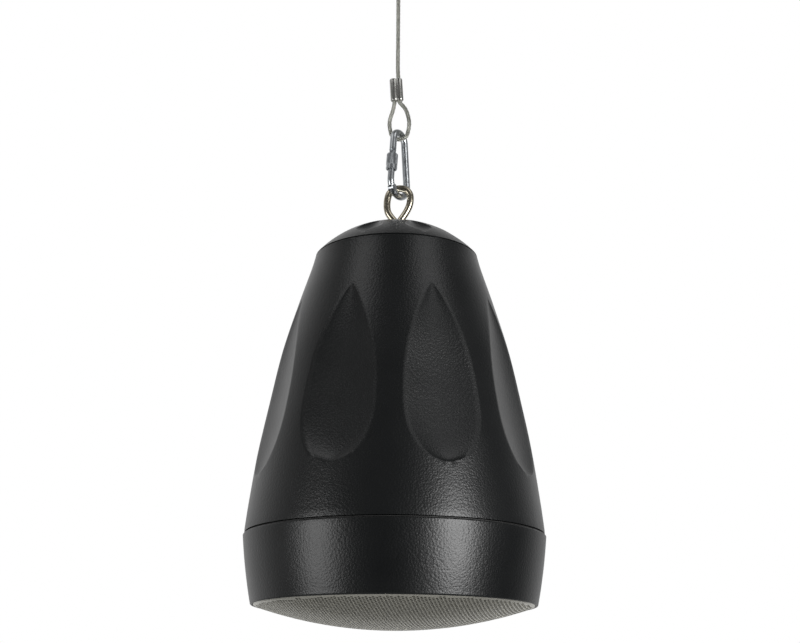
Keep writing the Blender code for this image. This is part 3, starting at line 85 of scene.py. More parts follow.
# %% Camera below the speaker, looking up
lens = bpy.data.cameras.new("camera")
lens.lens = 63.86
lens.sensor_width = 36.0
camera = bpy.data.objects.new("camera", lens)
bpy.context.scene.collection.objects.link(camera)
camera.location = (0.0413, -0.9449, -0.5658)
camera.rotation_euler = [math.radians(angle) for angle in (105.77, -0.35, 2.24)]
bpy.context.scene.camera = camera
bpy.context.scene.view_settings.view_transform = "Standard"
print("Camera", [round(c, 3) for c in camera.location])

# %% [markdown]
# ## Selecting as a modeller does
#
# Operators act on whatever is selected, and loading the frame leaves its nodes selected. So each
# step first clears the selection. In edit mode, parts of a mesh are picked by where they are.

# %% Helpers for the selection


def only(obj):
    """Deselects everything, then makes one object the selected and active one."""
    if bpy.context.object and bpy.context.object.mode != "OBJECT":
        bpy.ops.object.mode_set(mode="OBJECT")
    bpy.ops.object.select_all(action="DESELECT")
    bpy.context.view_layer.objects.active = obj
    obj.select_set(True)


def pick(obj, kind, wanted):
    """Opens an object in edit mode with the vertices, edges or faces selected that wanted() accepts."""
    only(obj)
    bpy.ops.object.mode_set(mode="EDIT")
    bpy.ops.mesh.select_mode(type=kind)
    bpy.ops.mesh.select_all(action="DESELECT")
    bpy.ops.object.mode_set(mode="OBJECT")
    mesh = obj.data
    if kind == "FACE":
        for face in mesh.polygons:
            face.select = wanted(face.center)
    elif kind == "EDGE":
        for edge in mesh.edges:
            ends = [mesh.vertices[i].co for i in edge.vertices]
            edge.select = wanted((ends[0] + ends[1]) / 2)
    else:
        for vertex in mesh.vertices:
            vertex.select = wanted(vertex.co)
    bpy.ops.object.mode_set(mode="EDIT")


def done(obj, crease=30):
    """Leaves edit mode and shades smooth, with edges sharper than crease degrees left crisp."""
    only(obj)
    bpy.ops.object.shade_smooth_by_angle(angle=math.radians(crease))
    return obj


# %% [markdown]
# ## Outlines, turned pieces and wires
#
# Most of this speaker is turned or bent. A turned piece is an outline spun about the axis. A bent
# one is a line that gets a round section. Both start from one vertex that is extruded from point
# to point, as when tracing a drawing by hand.

# %% Helpers for outlines
SAME_SPOT = 0.01 * MM
WIRE_SIDES = 24


def front(across, height):
    """A place on the plane that faces the front, from millimetres across and above the rim."""
    return Vector((across * MM, 0.0, h(height)))


def evenly(low, high, count):
    """Values from low to high in count equal steps, with both ends."""
    return [low + (high - low) * k / count for k in range(count + 1)]


def clean():
    """Merges the vertices on one spot, turns all faces outwards and leaves edit mode."""
    bpy.ops.mesh.select_all(action="SELECT")
    bpy.ops.mesh.remove_doubles(threshold=SAME_SPOT)
    bpy.ops.mesh.normals_make_consistent(inside=False)
    bpy.ops.object.mode_set(mode="OBJECT")


def trace(name, points):
    """One vertex, extruded from point to point, in metres."""
    bpy.ops.mesh.primitive_plane_add(size=MM)
    obj = bpy.context.object
    obj.name = obj.data.name = name
    only(obj)
    bpy.ops.object.mode_set(mode="EDIT")
    bpy.ops.mesh.select_mode(type="VERT")
    bpy.ops.mesh.select_all(action="SELECT")
    bpy.ops.mesh.merge(type="CENTER")
    bpy.ops.mesh.select_all(action="SELECT")
    bpy.ops.transform.translate(value=points[0])
    for start, end in zip(points, points[1:]):
        bpy.ops.mesh.extrude_vertices_move(TRANSFORM_OT_translate={"value": end - start})
    bpy.ops.object.mode_set(mode="OBJECT")
    return obj


def spun(name, outline, steps):
    """A turned piece from (radius, height) points in millimetres, the height above the rim."""
    obj = trace(name, [front(r, z) for r, z in outline])
    bpy.ops.object.mode_set(mode="EDIT")
    bpy.ops.mesh.select_all(action="SELECT")
    bpy.ops.mesh.spin(steps=steps, angle=2 * math.pi, center=(0, 0, 0), axis=(0, 0, 1))
    clean()
    return obj


def closed(outline):
    """The same outline, back to its first point."""
    return [*outline, outline[0]]


def arc(centre, radius, start, end, steps):
    """Points on an arc, with angles in degrees from the outward direction, upwards."""
    angles = [math.radians(angle) for angle in evenly(start, end, steps)]
    return [(centre[0] + radius * math.cos(a), centre[1] + radius * math.sin(a)) for a in angles]


def wire(name, points, radius):
    """A round wire along points in metres: a traced line, made a curve with a section and ends."""
    trace(name, points)
    bpy.ops.object.convert(target="CURVE")
    obj = bpy.context.object
    obj.data.bevel_depth = radius * MM
    obj.data.bevel_resolution = WIRE_SIDES // 4 - 1
    obj.data.use_fill_caps = True
    bpy.ops.object.convert(target="MESH")
    bpy.ops.object.mode_set(mode="EDIT")
    clean()
    return bpy.context.object


def apply_modifier(obj, kind, **settings):
    """Adds a modifier with its settings and applies it."""
    only(obj)
    tool = obj.modifiers.new(kind.title(), kind)
    for name, value in settings.items():
        setattr(tool, name, value)
    bpy.ops.object.modifier_apply(modifier=tool.name)


def wall_under(obj, thickness):
    """Gives an open sheet a wall under its upper face, whichever way its faces point."""
    upwards = sum(face.normal.z * face.area for face in obj.data.polygons) > 0
    apply_modifier(obj, "SOLIDIFY", thickness=thickness * MM, offset=-1.0 if upwards else 1.0)


def cut(obj, tool, operation="DIFFERENCE", folded=False):
    """Cuts a tool out of an object, or joins it on, and removes the tool. A folded object is one
    whose wall overlaps itself in a tight corner, which the solver has to sort out first."""
    apply_modifier(obj, "BOOLEAN", operation=operation, solver="EXACT", use_self=folded, object=tool)
    bpy.data.objects.remove(tool)


def smooth_line(points, steps):
    """A smooth curve through points, with steps short pieces from each to the next."""
    padded = [2 * points[0] - points[1], *points, 2 * points[-1] - points[-2]]
    line = []
    for a, b, c, d in zip(padded, padded[1:], padded[2:], padded[3:]):
        for t in [k / steps for k in range(steps)]:
            flat = 2 * b + (c - a) * t
            line.append((flat + (2 * a - 5 * b + 4 * c - d) * t**2 + (3 * b - a - 3 * c + d) * t**3) / 2)
    return [*line, points[-1]]


# %% [markdown]
# ## One helper for every material
#
# A material here is a small graph of nodes. One function adds a node, sets its values and links
# its inputs. Colours are written as the hex values that a paint or plastic chart gives, which are
# sRGB, and shaders need linear light, so a second function converts them. Most finishes need no
# more than one noise, which mixes two tones, varies the gloss and lifts the surface a little.

# %% Helpers for materials


def colour(text):
    """A hex colour as linear red, green, blue and alpha."""
    parts = [int(text[i : i + 2], 16) / 255 for i in (1, 3, 5)]
    return (*[p / 12.92 if p <= 0.04045 else ((p + 0.055) / 1.055) ** 2.4 for p in parts], 1.0)


def add_node(tree, kind, inputs, **settings):
    """Adds a node; inputs are values or other nodes' outputs by socket, settings its own options."""
    made = tree.nodes.new(kind)
    for name, value in settings.items():
        setattr(made, name, value)
    for socket, value in inputs.items():
        if isinstance(value, bpy.types.NodeSocket):
            tree.links.new(value, made.inputs[socket])
        else:
            made.inputs[socket].default_value = value
    return made


def new_material(name):
    """An empty material with its shader, and the node that gives places on the object."""
    made = bpy.data.materials.new(name)
    made.use_nodes = True
    tree = made.node_tree
    shader = tree.nodes["Principled BSDF"]
    places = add_node(tree, "ShaderNodeTexCoord", {})
    return made, tree, shader, places.outputs["Object"]


def per_mm(size):
    """Texture scale at which one cell of a pattern is size millimetres wide."""
    return 1 / (size * MM)


def noise(tree, places, size, detail):
    """A noise in spots of size millimetres."""
    spots = {"Vector": places, "Scale": per_mm(size), "Detail": detail}
    return add_node(tree, "ShaderNodeTexNoise", spots)


def surface(tree, shader, share, tones, roughness, height, relief, metallic):
    """Wires up a finish: share mixes the two tones and runs the roughness from one value to the
    other, and height lifts the surface by relief, which is (strength, height in millimetres)."""
    mixed = {0: share, 6: colour(tones[0]), 7: colour(tones[1])}
    tone = add_node(tree, "ShaderNodeMix", mixed, data_type="RGBA")
    rough = add_node(tree, "ShaderNodeMapRange", {0: share, 3: roughness[0], 4: roughness[1]})
    lifted = {"Strength": relief[0], "Distance": relief[1] * MM, "Height": height}
    bump = add_node(tree, "ShaderNodeBump", lifted)
    tree.links.new(tone.outputs[2], shader.inputs["Base Color"])
    tree.links.new(rough.outputs[0], shader.inputs["Roughness"])
    tree.links.new(bump.outputs[0], shader.inputs["Normal"])
    shader.inputs["Metallic"].default_value = metallic


def mottled(name, size, tones, roughness, relief, metallic=0.0, detail=4.0, stretch=(1.0, 1.0, 1.0)):
    """A finish from one noise, in spots of size millimetres."""
    made, tree, shader, places = new_material(name)
    stretched = add_node(tree, "ShaderNodeMapping", {"Vector": places, "Scale": stretch})
    spots = noise(tree, stretched.outputs[0], size, detail).outputs["Fac"]
    surface(tree, shader, spots, tones, roughness, spots, relief, metallic)
    return made


def dress(obj, material, body, *nodes, slot):
    """Gives a finished piece its material, and lets it stand and move for its CAD nodes."""
    obj.data.materials.clear()
    obj.data.materials.append(material)
    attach(obj, body)
    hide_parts(*nodes)
    obj.data.calc_loop_triangles()
    print(obj.name, len(obj.data.loop_triangles), "triangles, rides on", body)


# %% [markdown]
# ## The wire rope
#
# The real one is six strands of thin galvanised wire laid round a core, 3 mm thick, with a loop
# pressed at each end. It could be six tubes wound round each other. A rope seen from a metre needs
# only its outside, so the section is a six-lobed ring that turns as it runs along the line, which
# gives the same strands with a sixth of the mesh. The rope hangs taut, from its hook down.

# %% The rope's line
EYE_TOP = 291.9
WIRE_R = 2.5
ROPE_R = 1.5
LINK_GAP = 0.5
ROPE_GAP = 0.8
HOOK_RISE = 48.5
HOOK_LOW = EYE_TOP - 2 * WIRE_R - LINK_GAP
HOOK_HIGH = HOOK_LOW + HOOK_RISE
LOOP_LOW = HOOK_HIGH - WIRE_R - ROPE_GAP - ROPE_R
LOOP_RISE = 29.8
BOW_HALF_WIDTH = 6.4
LOOP_HALF_WIDTH = 7.0
WIDEST_RISE = 14.0
NECK_HALF_WIDTH = 4.6
NECK_RISE = 23.0
LOWER_LEAN = 3.5
LOWER_SHIFT = -0.9
LOWER_ASIDE = 1.35
FERRULE_LENGTH = 17.5
FERRULE_SPACING = 3.8
LOWER_FERRULE = LOOP_LOW + LOOP_RISE
BETWEEN_FERRULES = 69.7
UPPER_FERRULE = LOWER_FERRULE + FERRULE_LENGTH + BETWEEN_FERRULES
LOOP_HIGH = UPPER_FERRULE + FERRULE_LENGTH + LOOP_RISE


def rope_loop(low, direction, lean, shift, aside):
    """A loop from its dead end to its live end, in millimetres. Direction is 1 for the lower loop
    and -1 for the upper one. The ferrule leans and is shifted, and the loop hangs aside."""
    slope = math.tan(math.radians(lean))

    def in_ferrule(side, along):
        across = shift + side * FERRULE_SPACING / 2 - (along - FERRULE_LENGTH / 2) * slope
        return Vector((across, 0.0, low + direction * (LOOP_RISE + along)))

    def at(across, rise):
        return Vector((aside + across, 0.0, low + direction * rise))

    turns = evenly(0.0, math.pi, 4)
    bend = [at(-BOW_HALF_WIDTH * math.cos(a), BOW_HALF_WIDTH * (1 - math.sin(a))) for a in turns]
    left = [at(-NECK_HALF_WIDTH, NECK_RISE), at(-LOOP_HALF_WIDTH, WIDEST_RISE)]
    right = [at(LOOP_HALF_WIDTH, WIDEST_RISE), at(NECK_HALF_WIDTH, NECK_RISE)]
    in_grip = (FERRULE_LENGTH - 1.5, 3.0, 0.5, -1.0)
    dead_end = [in_ferrule(-1, along) for along in in_grip]
    live_end = [in_ferrule(1, along) for along in reversed(in_grip)]
    return [*dead_end, *left, *bend, *right, *live_end]


TAUT_SHARES = (0.12, 0.35, 0.65, 0.9)
taut_foot = LOWER_FERRULE + FERRULE_LENGTH
taut = [Vector((0.0, 0.0, taut_foot + BETWEEN_FERRULES * share)) for share in TAUT_SHARES]
lower_loop = rope_loop(LOOP_LOW, 1, LOWER_LEAN, LOWER_SHIFT, LOWER_ASIDE)
upper_loop = rope_loop(LOOP_HIGH, -1, 0.0, -FERRULE_SPACING / 2, 0.0)
route = [*lower_loop, *taut, *reversed(upper_loop)]
rope_line = [front(p.x, p.z) for p in smooth_line(route, 8)]

# %% The rope's section and its twist
STRANDS = 6
STRAND_R = 0.5
LAY_LENGTH = 20.0
STEPS_PER_STRAND = 6

bpy.ops.mesh.primitive_circle_add(vertices=STRANDS * STEPS_PER_STRAND, radius=ROPE_R * MM)
section = bpy.context.object
strand_circle = ROPE_R - STRAND_R
for vertex in section.data.vertices:
    turn = math.atan2(vertex.co.y, vertex.co.x)
    sector = 2 * math.pi / STRANDS
    off = (turn + sector / 2) % sector - sector / 2
    inside = max(0.0, STRAND_R**2 - (strand_circle * math.sin(off)) ** 2)
    reach = strand_circle * math.cos(off) + math.sqrt(inside)
    vertex.co = vertex.co.normalized() * reach * MM
only(section)
bpy.ops.object.convert(target="CURVE")

trace("wire_rope", rope_line)
bpy.ops.object.convert(target="CURVE")
rope = bpy.context.object
travelled = 0.0
rope_points = rope.data.splines[0].points
for before, point in zip([rope_points[0], *rope_points], rope_points):
    travelled += (point.co.xyz - before.co.xyz).length
    point.tilt = 2 * math.pi * travelled / (LAY_LENGTH * MM)
rope.data.bevel_mode = "OBJECT"
rope.data.bevel_object = section
rope.data.use_fill_caps = True
bpy.ops.object.convert(target="MESH")
rope = bpy.context.object
bpy.data.objects.remove(section)
done(rope, 50)
print("Rope has", len(rope.data.polygons), "faces and maps", [m.name for m in rope.data.uv_layers])

# %% [markdown]
# ### Galvanised steel wire
#
# Hot-dip zinc dulls to a soft grey with small bright spots where the wires rub. Each strand is
# twisted from thin wires, which show as a slanting grain about a tenth of a millimetre fine. The
# rope's own UV map runs along it and round it, so the grain follows the rope through its loops.

# %% Galvanised rope finish
GRAIN_SLANT = math.radians(32)
GRAIN_SCALE = (900.0, 36.0, 1.0)
galvanised_wire, tree, shader, places = new_material("galvanised_steel_wire")
uv = add_node(tree, "ShaderNodeUVMap", {}, uv_map=rope.data.uv_layers[0].name)
slanting = {"Vector": uv.outputs["UV"], "Rotation": (0.0, 0.0, GRAIN_SLANT), "Scale": GRAIN_SCALE}
slant = add_node(tree, "ShaderNodeMapping", slanting).outputs[0]
wires = add_node(tree, "ShaderNodeTexWave", {"Vector": slant, "Scale": 1.0, "Distortion": 0.6})
dulling = noise(tree, places, 3.0, 4.0).outputs["Fac"]
greys = ("#85867F", "#D2D2CA")
surface(tree, shader, dulling, greys, (0.55, 0.3), wires.outputs["Fac"], (0.5, 0.1), 1.0)

dress(rope, galvanised_wire, "suspension", "suspension_rope", slot="galvanised_rope")

# %% [markdown]
# ## The pressed ferrules
#
# Each loop is closed by an aluminium sleeve with a figure-8 section, squeezed on both runs of the
# rope. Two barrels with rounded ends are spun, moved apart and joined, which leaves the groove
# between them, and two bores let the rope through.

# %% Two figure-8 ferrules
LOBE_R = 2.75
LOBE_EDGE = 1.0
BORE_R = ROPE_R + 0.1
BORE_EDGE = 0.3
BORE_REACH = 2


def barrel(name, radius, low, high, edge):
    """A round bar with rounded ends, standing on the axis."""
    foot = arc((radius - edge, low + edge), edge, -90, 0, 4)
    head = arc((radius - edge, high - edge), edge, 0, 90, 4)
    return spun(name, [(0.0, low), *foot, *head, (0.0, high)], 32)


def move(obj, x, lean=0.0, middle=0.0):
    """Moves a mesh sideways in millimetres and leans it about a point at a height on the axis."""
    pick(obj, "VERT", lambda place: True)
    bpy.ops.transform.translate(value=(x * MM, 0.0, 0.0))
    if lean:
        pivot = front(0.0, middle)
        bpy.ops.transform.rotate(value=math.radians(lean), orient_axis="Y", center_override=pivot)
    bpy.ops.object.mode_set(mode="OBJECT")


def ferrule(name, low, lean, shift):
    """A figure-8 sleeve that stands on a height, with its lean in degrees and its shift sideways."""
    high = low + FERRULE_LENGTH
    lobes = [barrel(name, LOBE_R, low, high, LOBE_EDGE) for _ in range(2)]
    bore = (BORE_R, low - BORE_REACH, high + BORE_REACH, BORE_EDGE)
    bores = [barrel(name + "_bore", *bore) for _ in range(2)]
    for left, right in (lobes, bores):
        move(left, -FERRULE_SPACING / 2)
        move(right, FERRULE_SPACING / 2)
    body = lobes[0]
    cut(body, lobes[1], "UNION")
    for tool in bores:
        cut(body, tool)
    move(body, 0.0, lean, (low + high) / 2)
    move(body, shift)
    return done(body, 40)


lower_ferrule = ferrule("pressed_ferrule_lower", LOWER_FERRULE, LOWER_LEAN, LOWER_SHIFT)
upper_ferrule = ferrule("pressed_ferrule_upper", UPPER_FERRULE, 0.0, -FERRULE_SPACING / 2)

# %% [markdown]
# ### Pressed aluminium
#
# Aluminium drawn through a die has faint lines along its length, and the press burnishes it.

# %% Pressed aluminium finish
pressed_aluminium = mottled(
    "pressed_aluminium",
    0.5,
    ("#A4A4A1", "#DDDCD7"),
    (0.22, 0.32),
    (0.25, 0.05),
    metallic=1.0,
    detail=3.0,
    stretch=(1.0, 1.0, 0.06),
)

dress(lower_ferrule, pressed_aluminium, "suspension", "lower_ferrule", slot="ferrule_aluminium")
dress(upper_ferrule, pressed_aluminium, "suspension", "upper_ferrule", slot="ferrule_aluminium")

# %% [markdown]
# ## The housing
#
# The bell is injection moulded, 3 mm thick, with eight teardrop hollows sunk into its side. A
# Boolean with eight cutters would leave ragged borders and shading faults. Instead the bell is
# spun, its columns are drawn together until two of them run along each hollow's border, and only
# the columns between them sink inwards. The border is then a row of edges, and smooth shading
# softens it over the columns beside it, as the moulding's border looks.

# %% The bell's outline
HOUSING_FOOT = 46.4
HOUSING_TOP = 238.8
FOOT_R = 99.6
NECK_R = 56.6
NECK_EDGE = 0.8
WALL = 3.0
BELL = [(0.0, 0.0), (0.107, 0.06), (0.297, 0.188), (0.465, 0.337)]
BELL += [(0.642, 0.512), (0.819, 0.747), (0.954, 0.944), (1.0, 1.0)]


def through(table, share):
    """The value of a smooth curve through (share, value) pairs."""
    last = len(table) - 1
    i = max(k for k in range(last) if table[k][0] <= share or k == 0)
    slopes = []
    for k in (i, i + 1):
        before, after = table[max(k - 1, 0)], table[min(k + 1, last)]
        slopes.append((after[1] - before[1]) / (after[0] - before[0]))
    span = table[i + 1][0] - table[i][0]
    t = (share - table[i][0]) / span
    ends = (2 * t**3 - 3 * t**2 + 1) * table[i][1] + (3 * t**2 - 2 * t**3) * table[i + 1][1]
    return ends + span * ((t**3 - 2 * t**2 + t) * slopes[0] + (t**3 - t**2) * slopes[1])


def housing_radius(height):
    share = (height - HOUSING_FOOT) / (HOUSING_TOP - HOUSING_FOOT)
    return FOOT_R + (NECK_R - FOOT_R) * through(BELL, share)


# %% The teardrop hollows
HOLLOWS = 8
COLUMNS = 32
HOLLOW_FOOT = 80.5
HOLLOW_TIP = 203.0
HOLLOW_RISE = HOLLOW_TIP - HOLLOW_FOOT
WIDEST = 0.33
HALF_ANGLE = 16.8
HOLLOW_DEPTH = 6.0
TIP_FADE = 0.45
LEAST_ANGLE = 1.4


def teardrop(height):
    """Half width of a hollow at a height, as a share of its widest."""
    share = (height - HOLLOW_FOOT) / HOLLOW_RISE
    if not 0.0 < share < 1.0:
        return 0.0
    if share < WIDEST:
        return math.sqrt(1 - (1 - share / WIDEST) ** 2)
    rise = (share - WIDEST) / (1 - WIDEST)
    return math.cos(math.pi / 2 * rise**1.3) ** 0.85


def hollow_width(place):
    return teardrop((place.z - RIM) / MM)


def hollow_depth(place):
    """Depth along a hollow's middle in millimetres, which fades towards the tip."""
    share = ((place.z - RIM) / MM - HOLLOW_FOOT) / HOLLOW_RISE
    rise = max(0.0, share - WIDEST) / (1 - WIDEST)
    return HOLLOW_DEPTH * hollow_width(place) * (1 - TIP_FADE * rise**2)


def sink_hollows(obj, width_at, half_angle, depth_at, inward):
    """Draws a spun shell's columns to the borders of its hollows, and sinks what lies between."""
    pitch = 2 * math.pi / HOLLOWS
    quarter = pitch / 4
    for vertex in obj.data.vertices:
        place = vertex.co.copy()
        turn = math.atan2(place.x, -place.y)
        centre = (math.floor(turn / pitch) + 0.5) * pitch
        off = turn - centre
        width = width_at(place)
        depth = depth_at(place)
        border = math.radians(max(width * half_angle, LEAST_ANGLE))
        if abs(off) <= quarter + 1e-6:
            moved = off * border / quarter
        else:
            moved = math.copysign(border + (abs(off) - quarter) / quarter * (pitch / 2 - border), off)
        radius = math.hypot(place.x, place.y)
        place.x, place.y = radius * math.sin(centre + moved), -radius * math.cos(centre + moved)
        if width > 0:
            share = math.degrees(abs(moved)) / (width * half_angle)
            place += depth * MM * max(0.0, 1 - share**2) * inward(place)
        vertex.co = place
    obj.data.update()


# %% Spin the bell and sink its hollows
DECK_HOLE_R = 4.0
round_rise = HOLLOW_RISE * WIDEST
below = evenly(HOUSING_FOOT, HOLLOW_FOOT, 12)
round_end = [HOLLOW_FOOT + round_rise * (1 - math.cos(math.radians(a))) for a in evenly(0, 90, 18)]
pointed = evenly(round_end[-1], HOLLOW_TIP, 44)
above = evenly(HOLLOW_TIP, HOUSING_TOP - NECK_EDGE, 14)
heights = [*below[1:], *round_end[1:], *pointed[1:], *above[1:]]
rows = [(housing_radius(z), z) for z in heights]
shoulder = arc((rows[-1][0] - NECK_EDGE, rows[-1][1]), NECK_EDGE, 20, 90, 4)
foot_edge = [(FOOT_R - 0.9, HOUSING_FOOT), (FOOT_R - 0.25, HOUSING_FOOT + 0.25)]
bell_line = [*foot_edge, *rows, *shoulder, (DECK_HOLE_R, HOUSING_TOP)]
housing = spun("moulded_housing", bell_line, HOLLOWS * COLUMNS)


def towards_axis(place):
    return Vector((-place.x, -place.y, 0.0)).normalized()


sink_hollows(housing, hollow_width, HALF_ANGLE, hollow_depth, towards_axis)
wall_under(housing, WALL)
done(housing)

# %% [markdown]
# ### Leather-grained black ABS
#
# The mould is etched, so the plastic comes out with low pebbles like leather, between one and two
# millimetres across. They hardly change the colour. They break each highlight into small wavy
# glints, which is what tells the eye that this is moulded plastic and not paint. Cells from a
# Voronoi texture are the pebbles, bent by a slower noise so that no two are alike. A fine noise
# roughens them, and a wide one varies the gloss and the black a little, as handling does.

# %% Grained plastic finish
PEBBLE_SIZE = 1.35
PEBBLE_BEND = Vector((0.8, 0.8, 0.8)) * MM
PEBBLE_RELIEF = (0.55, -0.16)
grained_abs, tree, shader, places = new_material("leather_grained_black_abs")
wavy = {0: noise(tree, places, 3.5, 2.0).outputs["Color"], 1: PEBBLE_BEND, 2: places}
bent = add_node(tree, "ShaderNodeVectorMath", wavy, operation="MULTIPLY_ADD")
cells = {"Vector": bent.outputs[0], "Scale": per_mm(PEBBLE_SIZE), "Smoothness": 0.35}
pebbles = add_node(tree, "ShaderNodeTexVoronoi", cells, feature="SMOOTH_F1")
uneven = {0: noise(tree, places, 0.6, 2.0).outputs["Fac"], 1: 0.35, 2: pebbles.outputs["Distance"]}
grain = add_node(tree, "ShaderNodeMath", uneven, operation="MULTIPLY_ADD").outputs[0]
handling = noise(tree, places, 30.0, 3.0).outputs["Fac"]
blacks = ("#080A0B", "#0D0F10")
surface(tree, shader, handling, blacks, (0.3, 0.38), grain, PEBBLE_RELIEF, 0.0)

dress(housing, grained_abs, "speaker", "housing_shell", slot="grained_black_plastic")

# %% [markdown]
# ## The cap
#
# A shallow dome closes the bell's neck. It has eight leaf-shaped scoops of its own, in line with
# the hollows below, so it is made in the same way: spun, then scooped along its columns.

# %% Spin the cap and scoop it
CAP_FOOT = 239.4
CAP_TOP = 264.6
CAP_RISE = CAP_TOP - CAP_FOOT
CAP_WALL = 2.5
DOME_R = (NECK_R**2 + CAP_RISE**2) / (2 * CAP_RISE)
SCOOP_IN = 24.0
SCOOP_OUT = 53.8
SCOOP_HALF_ANGLE = 12.5
SCOOP_DEPTH = 3.2
BOLT_HOLE_R = 3.4


def cap_height(radius):
    return CAP_TOP - DOME_R + math.sqrt(DOME_R**2 - radius**2)


def leaf(place):
    """Half width of a scoop at a distance from the axis, as a share of its widest."""
    share = (math.hypot(place.x, place.y) / MM - SCOOP_IN) / (SCOOP_OUT - SCOOP_IN)
    return math.sin(math.pi * share**1.6) if 0.0 < share < 1.0 else 0.0


def to_dome_centre(place):
    return (front(0.0, CAP_TOP - DOME_R) - place).normalized()


inner_steps = evenly(BOLT_HOLE_R + 0.6, SCOOP_IN, 8)
scooped_steps = evenly(SCOOP_IN, SCOOP_OUT, 30)[1:]
outer_steps = evenly(SCOOP_OUT, NECK_R - 0.1, 4)[1:]
steps_out = [BOLT_HOLE_R, *inner_steps, *scooped_steps, *outer_steps]
cap_line = [(r, cap_height(r)) for r in steps_out]
cap = spun("domed_cap", cap_line, HOLLOWS * COLUMNS)
sink_hollows(cap, leaf, SCOOP_HALF_ANGLE, lambda place: SCOOP_DEPTH * leaf(place), to_dome_centre)
wall_under(cap, CAP_WALL)

# %% [markdown]
# The cable comes in at the back of the cap, through a rubber grommet in a round hole. Both are
# made on the axis, where they are simple to measure, and tipped to the rear about the dome's
# centre, so that they stand square to the dome.

# %% Cut the outlet and make its grommet
OUTLET_CIRCLE_R = 36.0
GROMMET_R = 8.0
GROMMET_NECK_R = 6.2
GROMMET_BORE_R = 3.5
GROMMET_LIP = 1.4
LIP_EDGE = 0.8
BORE_LIP_EDGE = 0.4
SKIN = 1.2
SKIN_DEPTH = 1.0
FIT = 0.3
OUTLET_REACH = 12


def to_outlet(obj):
    """Tips a mesh that was made about the cap's top to the cable outlet."""
    dome = Matrix.Translation(front(0.0, CAP_TOP - DOME_R))
    lean = Matrix.Rotation(-math.asin(OUTLET_CIRCLE_R / DOME_R), 4, "X")
    obj.data.transform(dome @ lean @ dome.inverted())


hole_r = GROMMET_NECK_R + FIT
low = CAP_TOP - OUTLET_REACH
high = CAP_TOP + OUTLET_REACH
outlet = spun("outlet_hole", [(0.0, low), (hole_r, low), (hole_r, high), (0.0, high)], 48)
to_outlet(outlet)
cut(cap, outlet, folded=True)
done(cap, 14)

seat = CAP_TOP + FIT
sag = DOME_R - math.sqrt(DOME_R**2 - GROMMET_R**2)
under = CAP_TOP - CAP_WALL - sag - 1.0
skin = seat - SKIN_DEPTH
bore_edge = GROMMET_BORE_R + BORE_LIP_EDGE
lip_edge = GROMMET_R - LIP_EDGE
grommet_line = [
    (0.0, skin),
    (GROMMET_BORE_R, skin),
    *arc((bore_edge, seat + GROMMET_LIP - BORE_LIP_EDGE), BORE_LIP_EDGE, 180, 90, 4),
    *arc((lip_edge, seat + GROMMET_LIP - LIP_EDGE), LIP_EDGE, 90, 0, 5),
    (GROMMET_R, seat),
    (GROMMET_NECK_R, seat),
    (GROMMET_NECK_R, under),
    (GROMMET_R, under),
    *arc((lip_edge, under - GROMMET_LIP + LIP_EDGE), LIP_EDGE, 0, -90, 5),
    *arc((bore_edge, under - GROMMET_LIP + BORE_LIP_EDGE), BORE_LIP_EDGE, -90, -180, 4),
    (GROMMET_BORE_R, skin - SKIN),
    (0.0, skin - SKIN),
]
grommet = spun("rubber_grommet", grommet_line, 48)
to_outlet(grommet)
done(grommet, 35)
moulded_rubber = mottled("moulded_rubber", 1.2, ("#0B0B0B", "#171716"), (0.55, 0.72), (0.3, 0.06))
dress(grommet, moulded_rubber, "speaker", "cable_grommet", slot="black_rubber")
dress(cap, grained_abs, "speaker", "top_cap", slot="grained_black_plastic")

# %% [markdown]
# ## The front ring
#
# The ring carries the grille and, inside, the baffle that the driver is screwed to. It bulges a
# little and its rim is softened, which catches a thin line of light. Outside and inside are one
# closed outline, spun.

# %% Spin the ring
RING_TOP = 45.2
RING_TOP_R = 100.3
RIM_R = 94.0
MOUTH_R = 92.7
SHOULDER = 8.0
INNER_R = 91.5
TOP_EDGE = 0.6
RIM_EDGE = 1.2
RING_WALL = 3.2
SPIGOT_TOP = 51.0
SPIGOT_FOOT = 41.2
SPIGOT_R = housing_radius(SPIGOT_TOP) - WALL - 1.1
SPIGOT_BORE_R = SPIGOT_R - 1.8
BAFFLE_UNDER = 20.0
BAFFLE_OVER = 24.0
CUTOUT_R = 75.0


def ring_radius(height):
    share = height / RING_TOP
    return RIM_R + (RING_TOP_R - RIM_R) * (1.45 * share - 0.45 * share**2)


side_top = RING_TOP - TOP_EDGE
side = [(ring_radius(z), z) for z in evenly(RIM_EDGE, side_top, 16)]
top_edge = arc((ring_radius(side_top) - TOP_EDGE, side_top), TOP_EDGE, 10, 90, 5)
rim = arc((ring_radius(RIM_EDGE) - RIM_EDGE, RIM_EDGE), RIM_EDGE, 0, -90, 6)
ring_line = [*reversed(rim), *side[1:], *top_edge]
ring_line += [(SPIGOT_R, RING_TOP), (SPIGOT_R, SPIGOT_TOP), (SPIGOT_BORE_R, SPIGOT_TOP)]
ring_line += [(SPIGOT_BORE_R, SPIGOT_FOOT), (ring_radius(BAFFLE_OVER) - RING_WALL, BAFFLE_OVER)]
ring_line += [(CUTOUT_R, BAFFLE_OVER), (CUTOUT_R, BAFFLE_UNDER), (INNER_R, BAFFLE_UNDER)]
ring_line += [(INNER_R, SHOULDER), (MOUTH_R, SHOULDER), (MOUTH_R, 0.3), (MOUTH_R + 0.15, 0.05)]
ring = spun("front_ring_moulding", closed(ring_line), 192)
done(ring)
dress(ring, grained_abs, "speaker", "front_ring", slot="grained_black_plastic")

# %% [markdown]
# ## The perforated grille
#
# The grille is steel sheet with 1.9 mm holes in a staggered pattern, 2.5 mm apart, pressed into a
# shallow dome. A picture of holes would look flat from below, where the sheet's thickness shows.
# One hexagon is repeated by two Array modifiers, each cell is inset and its middle deleted, and
# only then is the flat sheet bent to the dome and given its thickness.

